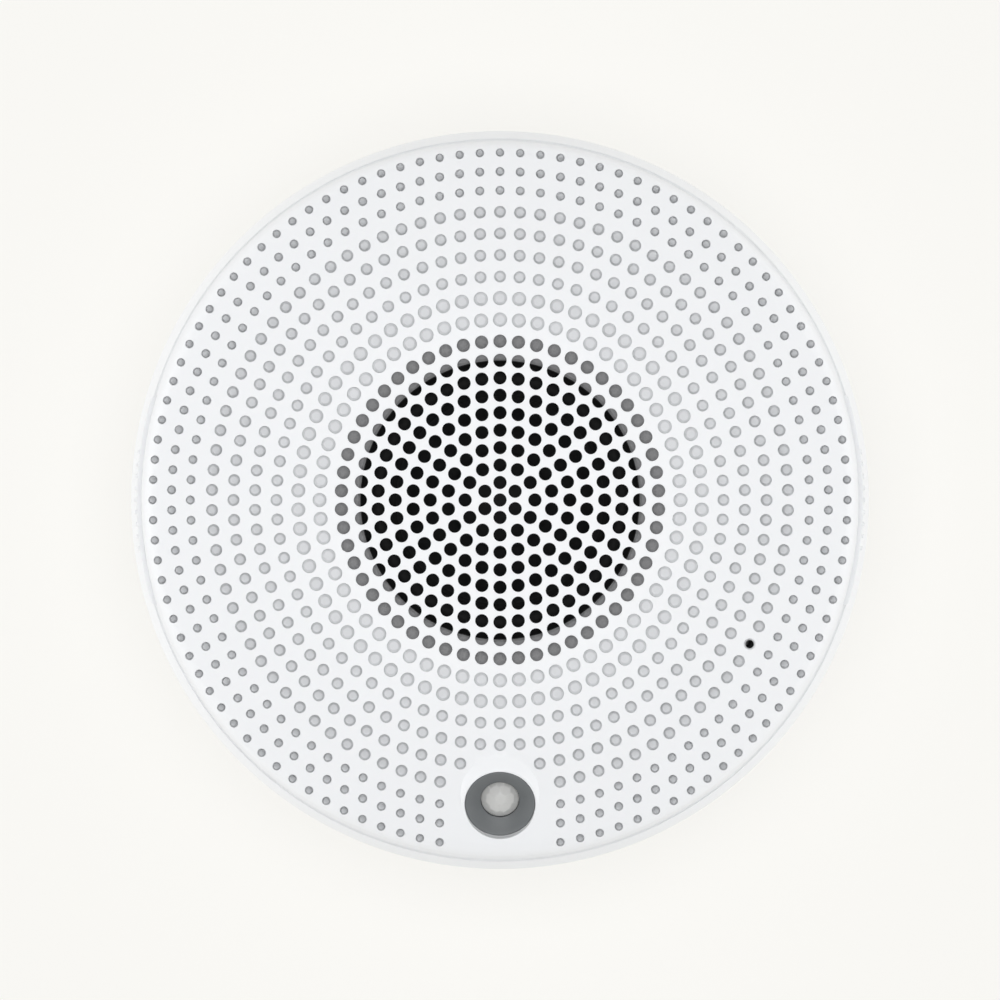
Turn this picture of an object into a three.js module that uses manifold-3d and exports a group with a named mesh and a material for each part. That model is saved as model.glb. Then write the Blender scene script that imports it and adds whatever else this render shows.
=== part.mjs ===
// A round wall-mounted network mini speaker with a motion sensor and a microphone.
// Millimetres. The wall face is z = 0, +Z points out of the front, and -Y points to the motion sensor.
import * as THREE from "three";
import { mergeGeometries, mergeVertices } from "three/addons/utils/BufferGeometryUtils.js";
import Module from "manifold-3d";

const wasm = await Module();
wasm.setup();

// ---------- driving dimensions ----------

// Overall envelope
const overallRadius = 75;
const overallDepth = 44;
const coverDraftAtWall = 2.1; // the cover's side wall stands this far inside the housing's foot
const skirtDraft = 1.4; // the housing's skirt narrows by this much towards the front
const skirtTop = 12; // height of the parting line above the wall
const partingGap = 0.6;
const footGap = 0.6; // the housing's foot floats this far off the wall, so that it can turn
const wall = 2.4; // moulded wall of the cover
const housingWall = 2; // moulded wall of the rear housing
const skirtWall = 2.2; // the housing's skirt at its foot
const fitGap = 0.35; // clearance between parts that are moulded to go together
const touchGap = 0.1; // glue line or seat between stacked parts
const seatOverlap = 1; // how far joined shapes reach into each other, and cutters reach past a face
const cornerAngles = [45, 135, 225, 315]; // driver screws and housing screws

// Cover dome and grille
const flatInset = 0.4; // the flat of the grille ends this far inside the driver's edge
const shoulderWidth = 3.3; // rounded edge between the dome and the side wall, seen from the front
const domeDrop = 7.3;
const domePower = 1.35;
const beadHeight = 1.2;
const beadWidth = 0.3;
const holePitch = 3.55; // from ring to ring, and about the same along each ring
const holeRadius = 1.35;
const holesPerRing = 6; // ring k has k times this many
const holeSides = 4;

// Grip pads on the cover's side wall
const gripHalfAngle = 16.5;
const gripHeight = 14;
const gripBottom = 15;
const gripThickness = 1;
const gripRibs = 9;
const gripRibPitch = 1.9; // degrees
const gripRibWidth = 0.9;
const gripRibRise = 0.4;
const gripEndLean = 1.2; // degrees by which a pad's ends slant

// Motion sensor
const sensorInset = 13.2; // from the overall radius to the sensor's centre
const sensorTilt = 25; // degrees from the speaker's axis
const cupRadius = 7.1;
const cupDepth = 2.05;
const lensRadius = 3.85;
const lensDomeHeight = 2.4;
const detectorRadius = 4.6;
const sensorBoardSize = 13;
const collarDepth = 4.3; // the cover's collar round the sensor cup, below the surface
const collarWall = 1.2;
const cupFlange = 1.9; // the cup's flange behind the collar
const flangeThickness = 1.2;

// Microphone
const microphoneInset = 16.4; // from the overall radius to the microphone's centre
const microphoneAngle = -30;
const microphoneHoleRadius = 0.83;

// Loudspeaker
const coneRadius = 22.2;
const frameLand = 7.2; // flat rim of the driver's frame outside the surround
const driverSetback = 4.2; // cover's underside to the front of the frame
const coneDepth = 8.5;
const surroundWidth = 5;
const surroundRise = 2.2;
const coilRadius = 8.4;
const magnetRadius = 24;
const magnetHeight = 9;
const plateThickness = 3;
const gasketWidth = 5.8;
const basketSheet = 1.4;
const frameInset = 1; // width of the surround's glued lip, and of the edge that it sits on
const spiderRise = 3.3; // height of the spider above the top plate
const driverEarReach = 3.8; // from the driver's edge to its screws
const driverEarRadius = 3.6;
const driverBoreDepth = 3.2;

// Electronics
const boardHeight = 21; // underside of the main board
const boardThickness = 1.6;
const boardInset = 17.5; // from the overall radius to the board's edge
const boardPillarCircle = 50;
const boardPillarAngles = [15, 165, 235, 305];
const socketSize = { x: 25, y: 16, z: 13.4 };
const socketMouth = { x: 13, y: 11.7, z: 7 };
const socketCentreY = 40;
const socketFront = -1; // x of the socket's mouth
const pocketLength = 28; // room for the plug, along x from the socket
const pocketWall = 1.6;
const buttonAngle = 200;
const buttonCircle = 42;
const buttonRadius = 1.5;
const buttonTravel = 0.6;
const lightAngle = 186;
const lightCircle = 46;
const lightGuideRadius = 1.3;
const speakerPlug = { reach: 7.6, size: [5, 8, 3.6] }; // reach is from the driver's edge
const sensorPlug = { angle: 250, circle: 36, size: [4, 7, 3] };

// Housing screws and the twist lock
const postInset = 5.7; // from the inside of the cover's wall to the screw posts
const postRadius = 3;
const postSeatHeight = 2; // the housing's raised seat under each post
const postBoreDepth = 13;
const screwRadius = 1.3;
const screwHeadRadius = 2.6;
const screwHeadHeight = 1.6;
const screwBoreGap = 0.3;
const plateInset = 14; // from the overall radius to the mounting plate's edge
const plateGap = 2.8; // from the plate to the housing's back wall
const mountPlateThickness = 2.2;
const mountRimHeight = 2;
const cableOpeningRadius = 24;
const wallSlotInner = 29;
const wallSlotOuter = 43;
const wallSlotWidth = 4.4;
const hookAngles = [100, 220, 340];
const hookInset = 6; // from the plate's edge to the hooks
const hookThickness = 2;
const hookReach = 3;
const hookNeckHalfWidth = 2.5;
const hookHeadHalfWidth = 3.9;
const hookGap = 0.6; // clearance of a hook in its slot
const lockTurn = 15; // degrees from locked to released

// ---------- sizes that follow ----------

const coverRadius = overallRadius - coverDraftAtWall;
const coverInnerRadius = coverRadius - wall;
const shoulderRadius = coverRadius - shoulderWidth;
const coverBottom = skirtTop + partingGap;
const ceiling = overallDepth - wall; // underside of the flat grille
const backWallBottom = mountPlateThickness + plateGap;
const backWallTop = backWallBottom + housingWall;
const driverRadius = coneRadius + surroundWidth + frameLand;
const driverScrewCircle = driverRadius + driverEarReach;
const grilleFlatRadius = driverRadius - flatInset;
const holeRings = Math.floor((driverRadius - holeRadius) / holePitch);
const speakerPlugCircle = driverRadius + speakerPlug.reach;
const sensorRadius = overallRadius - sensorInset;
const microphoneRadius = overallRadius - microphoneInset;
const boardRadius = overallRadius - boardInset;
const postCircle = coverInnerRadius - postInset;
const plateRadius = overallRadius - plateInset;
const hookCircle = plateRadius - hookInset;
const frameFront = ceiling - driverSetback;
const frameBack = frameFront - basketSheet;
const coneNeckRadius = coilRadius + 0.3;
const coneNeck = frameFront - coneDepth;
const topPlateTop = coneNeck - 4.4;
const topPlateBottom = topPlateTop - plateThickness;
const magnetBottom = topPlateBottom - magnetHeight;
const spiderHeight = topPlateTop + spiderRise;
const spiderLedge = topPlateTop + 2.5;
const basketNeck = magnetRadius - 1.3;
const boardTop = boardHeight + boardThickness;
const boardInnerRadius = magnetRadius + 3;
const collarBottom = -collarDepth;
const collarRadius = cupRadius + fitGap;
const screwBoreRadius = screwRadius + screwBoreGap;

const white = { color: 0xeceef1, roughness: 0.5, metalness: 0 };
const darkGrey = { color: 0x5b5e61, roughness: 0.6, metalness: 0 };
const milky = { color: 0xc2c3c2, roughness: 0.4, metalness: 0 };
const black = { color: 0x121214, roughness: 0.7, metalness: 0 };
const foamGrey = { color: 0x77797a, roughness: 0.95, metalness: 0 };
const steel = { color: 0xa8abad, roughness: 0.35, metalness: 1 };
const ferrite = { color: 0x3a3a3c, roughness: 0.7, metalness: 0.2 };
const copper = { color: 0xb06a3b, roughness: 0.4, metalness: 1 };
const cloth = { color: 0xc58a3e, roughness: 0.9, metalness: 0 };
const boardGreen = { color: 0x1f5a37, roughness: 0.5, metalness: 0 };
const chipBlack = { color: 0x1b1c1e, roughness: 0.55, metalness: 0 };
const redLead = { color: 0xa82a24, roughness: 0.5, metalness: 0 };
const clearPlastic = { color: 0xdfe6ea, roughness: 0.15, metalness: 0 };

// ---------- helpers ----------

const radians = THREE.MathUtils.degToRad;
const polar = (radius, angle) => [radius * Math.cos(radians(angle)), radius * Math.sin(radians(angle))];

// Turns a closed outline of [radius, height] points about the Z axis.
function turned(outline, segments) {
  let area = 0;
  outline.forEach(([r, z], i) => {
    const [nextR, nextZ] = outline[(i + 1) % outline.length];
    area += r * nextZ - nextR * z;
  });
  const ordered = area > 0 ? outline : [...outline].reverse();
  const onAxis = ordered.findIndex(([r], i) => r === 0 && ordered.at(i - 1)[0] === 0);
  const start = onAxis < 0 ? 0 : onAxis;
  const rolled = [...ordered.slice(start), ...ordered.slice(0, start)];
  if (onAxis < 0) {
    rolled.push(rolled[0]);
  }
  const points = rolled.map(([r, z]) => new THREE.Vector2(r, z));
  return new THREE.LatheGeometry(points, segments).rotateX(Math.PI / 2).rotateZ(Math.PI / 2);
}

// A round bar along Z.
function bar(radius, bottom, top, sides = 14, x = 0, y = 0) {
  const geometry = new THREE.CylinderGeometry(radius, radius, top - bottom, sides).rotateX(Math.PI / 2);
  return geometry.translate(x, y, (top + bottom) / 2);
}

// A block given by its lowest and highest corners.
function block(low, high) {
  const size = high.map((value, i) => value - low[i]);
  const centre = high.map((value, i) => (value + low[i]) / 2);
  return new THREE.BoxGeometry(...size).translate(...centre);
}

// A flat ring sector between two radii and two angles, with its ends leaning by endLean degrees.
function sector(inner, outer, from, to, bottom, top, steps, endLean = 0) {
  const corners = [];
  for (let i = 0; i <= steps; i += 1) {
    corners.push(polar(outer, from + ((to - from) * i) / steps));
  }
  for (let i = steps; i >= 0; i -= 1) {
    corners.push(polar(inner, from - endLean + ((to - from + 2 * endLean) * i) / steps));
  }
  const shape = new THREE.Shape(corners.map((corner) => new THREE.Vector2(...corner)));
  const geometry = new THREE.ExtrudeGeometry(shape, { depth: top - bottom, bevelEnabled: false });
  return geometry.translate(0, 0, bottom);
}

// Tube along a smooth curve through points.
function tube(points, radius, steps = 14, sides = 6) {
  const path = new THREE.CatmullRomCurve3(points.map((p) => new THREE.Vector3(...p)));
  const corner = (_, i) => new THREE.Vector2(...polar(radius, (360 * i) / sides));
  const rim = Array.from({ length: sides }, corner);
  return new THREE.ExtrudeGeometry(new THREE.Shape(rim), { steps, bevelEnabled: false, extrudePath: path });
}

// Solid for joining and cutting.
function solid(geometry) {
  const plain = geometry.clone();
  plain.deleteAttribute("normal");
  plain.deleteAttribute("uv");
  const merged = mergeVertices(plain, 1e-4);
  return new wasm.Manifold(
    new wasm.Mesh({
      numProp: 3,
      vertProperties: new Float32Array(merged.attributes.position.array),
      triVerts: new Uint32Array(merged.index.array),
    }),
  );
}

// Back to a three.js geometry.
function geometryOf(body) {
  const mesh = body.getMesh();
  const geometry = new THREE.BufferGeometry();
  geometry.setAttribute("position", new THREE.BufferAttribute(new Float32Array(mesh.vertProperties), 3));
  geometry.setIndex(new THREE.BufferAttribute(new Uint32Array(mesh.triVerts), 1));
  geometry.computeVertexNormals();
  return geometry;
}

const joined = (body, pieces) => pieces.reduce((sum, piece) => sum.add(solid(piece)), body);
const cut = (body, pieces) => pieces.reduce((rest, piece) => rest.subtract(solid(piece)), body);

const speaker = new THREE.Group();

function addPiece(name, geometry, look, parent = speaker) {
  const mesh = new THREE.Mesh(geometry, new THREE.MeshStandardMaterial(look));
  mesh.name = name;
  parent.add(mesh);
  return mesh;
}

// A frame that stands on a radius of the speaker and leans outwards by tilt degrees.
function leaningFrame(radius, angle, height, tilt) {
  const frame = new THREE.Group();
  frame.rotation.set(0, 0, radians(angle));
  const leaning = new THREE.Group();
  leaning.position.set(radius, 0, height);
  leaning.rotation.set(0, radians(tilt), 0);
  frame.add(leaning);
  speaker.add(frame);
  frame.updateMatrixWorld(true);
  return leaning;
}

const inFrame = (geometry, frame) => geometry.applyMatrix4(frame.matrixWorld);

// ---------- the cover's shape ----------

const domeSpan = shoulderRadius - grilleFlatRadius;

function domeHeight(radius) {
  const run = Math.max(0, radius - grilleFlatRadius) / domeSpan;
  return overallDepth - domeDrop * run ** domePower;
}

function domeSlope(radius) {
  const run = Math.max(0, radius - grilleFlatRadius) / domeSpan;
  return (Math.atan((domeDrop * domePower * run ** (domePower - 1)) / domeSpan) * 180) / Math.PI;
}

const edgeSlope = radians(domeSlope(shoulderRadius));
const shoulderRound = (coverRadius - shoulderRadius) / (1 - Math.sin(edgeSlope));
const shoulderFoot = domeHeight(shoulderRadius) - shoulderRound * Math.cos(edgeSlope);

function shoulderPoints(inset, steps) {
  const points = [];
  for (let i = 1; i <= steps; i += 1) {
    const lean = edgeSlope + ((Math.PI / 2 - edgeSlope) * i) / steps;
    const centre = coverRadius - shoulderRound;
    const radius = shoulderRound - inset;
    points.push([centre + radius * Math.sin(lean), shoulderFoot + radius * Math.cos(lean)]);
  }
  return points;
}

function domePoints(inset, steps) {
  const points = [];
  for (let i = 0; i <= steps; i += 1) {
    const radius = grilleFlatRadius + (domeSpan * i) / steps;
    const slope = radians(domeSlope(radius));
    points.push([radius - inset * Math.sin(slope), domeHeight(radius) - inset * Math.cos(slope)]);
  }
  return points;
}

const sensorFrame = leaningFrame(sensorRadius, -90, domeHeight(sensorRadius), sensorTilt);
const microphoneFrame = leaningFrame(
  microphoneRadius,
  microphoneAngle,
  domeHeight(microphoneRadius),
  domeSlope(microphoneRadius),
);

function grilleHoles() {
  const holes = [];
  for (let ring = 0; ring <= holeRings; ring += 1) {
    const count = Math.max(1, ring * holesPerRing);
    for (let i = 0; i < count; i += 1) {
      const [x, y] = polar(ring * holePitch, 90 + (360 * i) / count);
      holes.push(bar(holeRadius, ceiling - seatOverlap, overallDepth + seatOverlap, holeSides, x, y));
    }
  }
  return mergeGeometries(holes);
}

function coverShell() {
  const outline = [
    [0, overallDepth],
    ...domePoints(0, 5),
    ...shoulderPoints(0, 3),
    [coverRadius, coverBottom + beadHeight],
    [coverRadius + beadWidth, coverBottom + beadHeight - beadWidth],
    [coverRadius + beadWidth, coverBottom],
    [coverInnerRadius, coverBottom],
    ...shoulderPoints(wall, 2).reverse(),
    ...domePoints(wall, 3).reverse(),
    [0, ceiling],
  ];
  return solid(turned(outline, 60));
}

// Bosses for the driver screws and posts for the housing screws, with the bores that go into them.
function coverPosts() {
  const bossBottom = frameFront + touchGap;
  const bossTop = domeHeight(driverScrewCircle) - wall / 2;
  const postBottom = backWallTop + postSeatHeight + fitGap;
  const postTop = domeHeight(postCircle) - wall / 2;
  const posts = [];
  const bores = [];
  cornerAngles.forEach((angle) => {
    const boss = polar(driverScrewCircle, angle);
    const post = polar(postCircle, angle);
    posts.push(bar(postRadius, bossBottom, bossTop, 10, ...boss));
    posts.push(bar(postRadius, postBottom, postTop, 10, ...post));
    bores.push(bar(screwBoreRadius, frameFront - seatOverlap, frameFront + driverBoreDepth, 8, ...boss));
    bores.push(bar(screwBoreRadius, backWallTop, backWallTop + postBoreDepth, 8, ...post));
  });
  return { posts, bores };
}

function gripPad(side) {
  const inner = coverRadius - seatOverlap;
  const outer = coverRadius + gripThickness;
  const top = gripBottom + gripHeight;
  const from = side - gripHalfAngle;
  const pieces = [sector(inner, outer, from, side + gripHalfAngle, gripBottom, top, 6, gripEndLean)];
  for (let i = 0; i < gripRibs; i += 1) {
    const rib = block(
      [outer - gripThickness / 2, -gripRibWidth / 2, gripBottom + 1],
      [outer + gripRibRise, gripRibWidth / 2, top - 1],
    );
    pieces.push(rib.rotateZ(radians(side + (i - (gripRibs - 1) / 2) * gripRibPitch)));
  }
  return pieces;
}

// The raised ring round the sensor cup: it stands a little proud and blends down into the dome.
function sensorCollar() {
  const lipRise = 0.1;
  const lipWidth = 0.3;
  const outline = [
    [collarRadius, collarBottom],
    [collarRadius + collarWall, collarBottom],
    [collarRadius + collarWall, -collarWall],
    [collarRadius + lipWidth, lipRise],
    [collarRadius, lipRise],
  ];
  return inFrame(turned(outline, 28), sensorFrame);
}

function frontCover() {
  const { posts, bores } = coverPosts();
  const additions = [...posts, ...gripPad(0), ...gripPad(180), sensorCollar()];
  const openingTop = overallRadius / 10;
  const flangeRoomBottom = collarBottom - 2 * (flangeThickness + fitGap);
  const flangeRoom = bar(cupRadius + cupFlange + fitGap, flangeRoomBottom, collarBottom, 28);
  const cuts = [
    grilleHoles(),
    ...bores,
    inFrame(bar(collarRadius, collarBottom - touchGap, openingTop, 28), sensorFrame),
    inFrame(flangeRoom, sensorFrame),
    inFrame(bar(microphoneHoleRadius, -wall - seatOverlap, seatOverlap, 12), microphoneFrame),
  ];
  return geometryOf(cut(joined(coverShell(), additions), cuts));
}

// ---------- rear housing and mounting plate ----------

const pocketSideGap = 1; // on each side of the plug
const pocketHeadroom = 2.1; // from the pocket to the board
const pocketBack = 2.8; // how far the pocket reaches under the socket
const pocketLow = [
  socketFront - pocketBack,
  socketCentreY - socketSize.y / 2 - pocketSideGap,
  backWallBottom - seatOverlap,
];
const pocketHigh = [
  socketFront + pocketLength,
  socketCentreY + socketSize.y / 2 + pocketSideGap,
  boardHeight - pocketHeadroom,
];
const buttonPlace = polar(buttonCircle, buttonAngle);
const lightPlace = polar(lightCircle, lightAngle);

function lockSlot(hookAngle) {
  const neckHalf = ((hookNeckHalfWidth + hookGap) / hookCircle) * (180 / Math.PI);
  const headHalf = ((hookHeadHalfWidth + hookGap) / hookCircle) * (180 / Math.PI);
  const inner = hookCircle - hookThickness / 2 - hookGap;
  const neckOuter = hookCircle + hookThickness / 2 + hookGap;
  const headOuter = neckOuter + hookReach;
  const low = backWallBottom - seatOverlap;
  const high = backWallTop + seatOverlap;
  const released = hookAngle - lockTurn;
  return [
    sector(inner, neckOuter, released, hookAngle + neckHalf, low, high, 8),
    sector(inner, headOuter, released - headHalf, released + headHalf, low, high, 4),
  ];
}

function housingShell() {
  const spigotHeight = 4;
  const spigotWall = 1.8;
  const footLand = 0.4;
  const spigotRadius = coverInnerRadius - fitGap;
  const spigotInner = spigotRadius - spigotWall;
  const spigotTop = skirtTop + spigotHeight;
  const outline = [
    [0, backWallBottom],
    [overallRadius - skirtWall - footLand, backWallBottom],
    [overallRadius - skirtWall, footGap],
    [overallRadius, footGap],
    [overallRadius - skirtDraft, skirtTop],
    [spigotRadius, skirtTop],
    [spigotRadius, spigotTop],
    [spigotInner, spigotTop],
    [spigotInner, backWallTop],
    [0, backWallTop],
  ];
  return solid(turned(outline, 60));
}

// The pocket that the network plug goes into from behind, with room for the socket at its end.
function plugPocket() {
  const [lowX, lowY] = pocketLow;
  const [highX, highY, highZ] = pocketHigh;
  const socketHalf = socketSize.y / 2 + fitGap;
  const socketBottom = boardHeight - socketSize.z - fitGap;
  const box = block(
    [lowX - pocketWall, lowY - pocketWall, backWallBottom],
    [highX + pocketWall, highY + pocketWall, highZ + pocketWall],
  );
  const room = block(pocketLow, pocketHigh);
  const socketRoom = block(
    [lowX - pocketWall - seatOverlap, socketCentreY - socketHalf, socketBottom],
    [socketFront + fitGap, socketCentreY + socketHalf, boardHeight + seatOverlap],
  );
  return { box, room, socketRoom };
}

function rearHousing() {
  const pillarRadius = 2.8;
  const pillarBoreDepth = 9;
  const seatWall = 1.2;
  const { box, room, socketRoom } = plugPocket();
  const wallMiddle = backWallTop - housingWall / 4;
  const low = backWallBottom - seatOverlap;
  const high = backWallTop + seatOverlap;
  const seatTop = backWallTop + postSeatHeight;
  const additions = [box];
  const cuts = [room, socketRoom];
  boardPillarAngles.forEach((angle) => {
    const place = polar(boardPillarCircle, angle);
    additions.push(bar(pillarRadius, wallMiddle, boardHeight, 12, ...place));
    cuts.push(bar(screwBoreRadius, boardHeight - pillarBoreDepth, boardHeight + seatOverlap, 10, ...place));
  });
  cornerAngles.forEach((angle) => {
    const place = polar(postCircle, angle);
    additions.push(bar(postRadius + seatWall, wallMiddle, seatTop, 16, ...place));
    cuts.push(bar(screwHeadRadius + fitGap, low, backWallTop, 14, ...place));
    cuts.push(bar(screwBoreRadius, backWallTop - seatOverlap, seatTop + seatOverlap, 10, ...place));
  });
  hookAngles.forEach((angle) => cuts.push(...lockSlot(angle)));
  cuts.push(bar(buttonRadius + fitGap, low, high, 12, ...buttonPlace));
  cuts.push(bar(lightGuideRadius + fitGap, low, high, 12, ...lightPlace));
  return geometryOf(cut(joined(housingShell(), additions), cuts));
}

// One hook of the twist lock: a neck that goes through the housing's back wall, and a head inside it.
function lockHook(angle) {
  const headLift = 0.5;
  const headHeight = 2;
  const inner = hookCircle - hookThickness / 2;
  const outer = inner + hookThickness;
  const headBottom = backWallTop + headLift;
  const neckBottom = mountPlateThickness - seatOverlap;
  const neck = block(
    [inner, -hookNeckHalfWidth, neckBottom],
    [outer, hookNeckHalfWidth, headBottom + seatOverlap],
  );
  const head = block(
    [inner, -hookHeadHalfWidth, headBottom],
    [outer + hookReach, hookHeadHalfWidth, headBottom + headHeight],
  );
  return [neck.rotateZ(radians(angle)), head.rotateZ(radians(angle))];
}

// A radial slot for a wall screw, with round ends.
function wallSlot(angle) {
  const low = -seatOverlap;
  const high = mountPlateThickness + seatOverlap;
  const half = wallSlotWidth / 2;
  const slot = block([wallSlotInner, -half, low], [wallSlotOuter, half, high]);
  const ends = [wallSlotInner, wallSlotOuter].map((x) => bar(half, low, high, 12, x));
  return [slot, ...ends].map((piece) => piece.rotateZ(radians(angle)));
}

function mountingPlate() {
  const rimWall = 1.6;
  const rimTop = mountPlateThickness + mountRimHeight;
  const outline = [
    [cableOpeningRadius, 0],
    [plateRadius, 0],
    [plateRadius, rimTop],
    [plateRadius - rimWall, rimTop],
    [plateRadius - rimWall, mountPlateThickness],
    [cableOpeningRadius, mountPlateThickness],
  ];
  const windowLow = [pocketLow[0] - 4, 0, -seatOverlap];
  const windowHigh = [pocketHigh[0] + 2, pocketHigh[1] + 3, mountPlateThickness + seatOverlap];
  const slots = [0, 180, 270].flatMap(wallSlot);
  const plate = joined(solid(turned(outline, 64)), hookAngles.flatMap(lockHook));
  return geometryOf(cut(plate, [block(windowLow, windowHigh), ...slots]));
}

// ---------- loudspeaker ----------

const stripX = coneRadius + 7.3;
const stripThickness = 1.2;
const tagX = stripX + stripThickness + touchGap;
const tagThickness = 0.4;

function basket() {
  const windows = 6;
  const windowHalfWidth = 6.5;
  const neckWall = 3.3;
  const collar = coilRadius + 3.6;
  const collarTop = topPlateTop + basketSheet;
  const seatInner = coneRadius + surroundWidth - 0.4;
  const outline = [
    [driverRadius, frameFront],
    [driverRadius, frameBack],
    [seatInner + basketSheet, frameBack],
    [basketNeck, topPlateTop + basketSheet],
    [basketNeck, topPlateTop],
    [collar, topPlateTop],
    [collar, collarTop],
    [basketNeck - neckWall, collarTop],
    [basketNeck - neckWall, spiderLedge],
    [basketNeck - 1.1, spiderLedge],
    [seatInner, frameBack + 0.2],
    [seatInner, frameFront],
  ];
  const half = driverEarRadius;
  const ears = cornerAngles.flatMap((angle) => {
    const arm = block([driverRadius - seatOverlap, -half, frameBack], [driverScrewCircle, half, frameFront]);
    const ear = bar(half, frameBack, frameFront, 16, ...polar(driverScrewCircle, angle));
    return [arm.rotateZ(radians(angle)), ear];
  });
  const cuts = cornerAngles.map((angle) => {
    const place = polar(driverScrewCircle, angle);
    return bar(screwBoreRadius, frameBack - seatOverlap, frameFront + seatOverlap, 10, ...place);
  });
  const windowLow = [basketNeck - 3, -windowHalfWidth, spiderLedge + 1];
  const windowHigh = [driverRadius, windowHalfWidth, frameBack - 1.2];
  for (let i = 0; i < windows; i += 1) {
    cuts.push(block(windowLow, windowHigh).rotateZ(radians(30 + (360 * i) / windows)));
  }
  return geometryOf(cut(joined(solid(turned(outline, 40)), ears), cuts));
}

function surround() {
  const sheet = 0.5;
  const bottom = frameFront + touchGap;
  const outerEdge = coneRadius + surroundWidth;
  const centre = (coneRadius + outerEdge) / 2;
  const half = surroundWidth / 2;
  const arch = (rise, reach) => {
    const points = [];
    for (let i = 1; i < 5; i += 1) {
      const turn = (Math.PI * i) / 5;
      points.push([centre - reach * Math.cos(turn), bottom + rise * Math.sin(turn)]);
    }
    return points;
  };
  const outline = [
    [coneRadius - frameInset, bottom],
    [coneRadius + sheet, bottom],
    ...arch(surroundRise, half - sheet),
    [outerEdge - sheet, bottom],
    [outerEdge + frameInset, bottom],
    [outerEdge + frameInset, bottom + sheet],
    [outerEdge, bottom + sheet],
    ...arch(surroundRise + sheet, half).reverse(),
    [coneRadius, bottom + sheet],
    [coneRadius - frameInset, bottom + sheet],
  ];
  return turned(outline, 32);
}

const conePaper = 0.6;
const coneMiddleRise = 0.46; // share of the depth reached halfway out, so that the cone is gently curved
const coneTop = frameFront - touchGap;
const coneMiddle = [(coneRadius + coneNeckRadius) / 2, coneNeck + (coneTop - coneNeck) * coneMiddleRise];

function cone() {
  const paper = conePaper;
  const top = coneTop;
  const middle = coneMiddle;
  const outline = [
    [coneNeckRadius, coneNeck],
    middle,
    [coneRadius - frameInset, top - paper],
    [coneRadius, top - paper],
    [coneRadius, top],
    [coneRadius - 1.3, top],
    [middle[0] - 0.3, middle[1] + paper],
    [coneNeckRadius, coneNeck + paper],
  ];
  return turned(outline, 32);
}

function dustCap() {
  const coneLap = 1.1; // glued onto the cone
  const radius = coneNeckRadius + coneLap;
  const sheet = 0.5;
  const coneSlope = (coneMiddle[1] - coneNeck) / (coneMiddle[0] - coneNeckRadius);
  const base = coneNeck + conePaper + coneLap * coneSlope + 2 * touchGap;
  const rise = 2.9;
  const crown = (height, reach) => {
    const points = [];
    for (let i = 0; i <= 3; i += 1) {
      const run = i / 3;
      points.push([reach * run, base + sheet + height * (1 - run * run)]);
    }
    return points;
  };
  const inner = crown(rise - sheet, radius - 0.4).map(([r, z]) => [r, z - sheet * 0.6]);
  return turned([...crown(rise, radius), [radius, base], ...inner.reverse()], 24);
}

// The corrugated cloth disc that centres the coil; its flat outer rim is glued to the basket's ledge.
function spider() {
  const sheet = 0.35;
  const waves = 5;
  const waveHeight = 0.4;
  const rim = 2.2;
  const inner = coneNeckRadius;
  const outer = basketNeck - 1.4;
  const middle = [];
  for (let i = 0; i < waves; i += 1) {
    const height = i === 0 ? 0 : waveHeight * (i % 2 ? 1 : -1);
    middle.push([inner + ((outer - rim - inner) * i) / waves, spiderHeight + height]);
  }
  middle.push([outer - rim, spiderHeight - waveHeight], [outer, spiderHeight - waveHeight]);
  const offset = (by) => middle.map(([r, z]) => [r, z + by]);
  return turned([...offset(sheet * 0.4), ...offset(-sheet * 0.6).reverse()], 24);
}

const ringSolid = (inner, outer, bottom, top, segments = 32) =>
  turned([[inner, bottom], [outer, bottom], [outer, top], [inner, top]], segments);

function poleAndBackPlate() {
  const poleRadius = coilRadius - 0.8;
  const outline = [
    [0, magnetBottom - plateThickness],
    [magnetRadius - 2, magnetBottom - plateThickness],
    [magnetRadius - 2, magnetBottom],
    [poleRadius, magnetBottom],
    [poleRadius, topPlateTop],
    [0, topPlateTop],
  ];
  return turned(outline, 32);
}

// Pan-head screw along Z. The head is below the shaft when up is true.
function screw(x, y, seat, length, up) {
  const side = up ? 1 : -1;
  const outline = [
    [0, seat - side * screwHeadHeight],
    [screwHeadRadius * 0.8, seat - side * screwHeadHeight],
    [screwHeadRadius, seat - side * screwHeadHeight * 0.5],
    [screwHeadRadius, seat],
    [screwRadius, seat],
    [screwRadius, seat + side * length],
    [0, seat + side * length],
  ];
  return turned(outline, 12).translate(x, y, 0);
}

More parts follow.
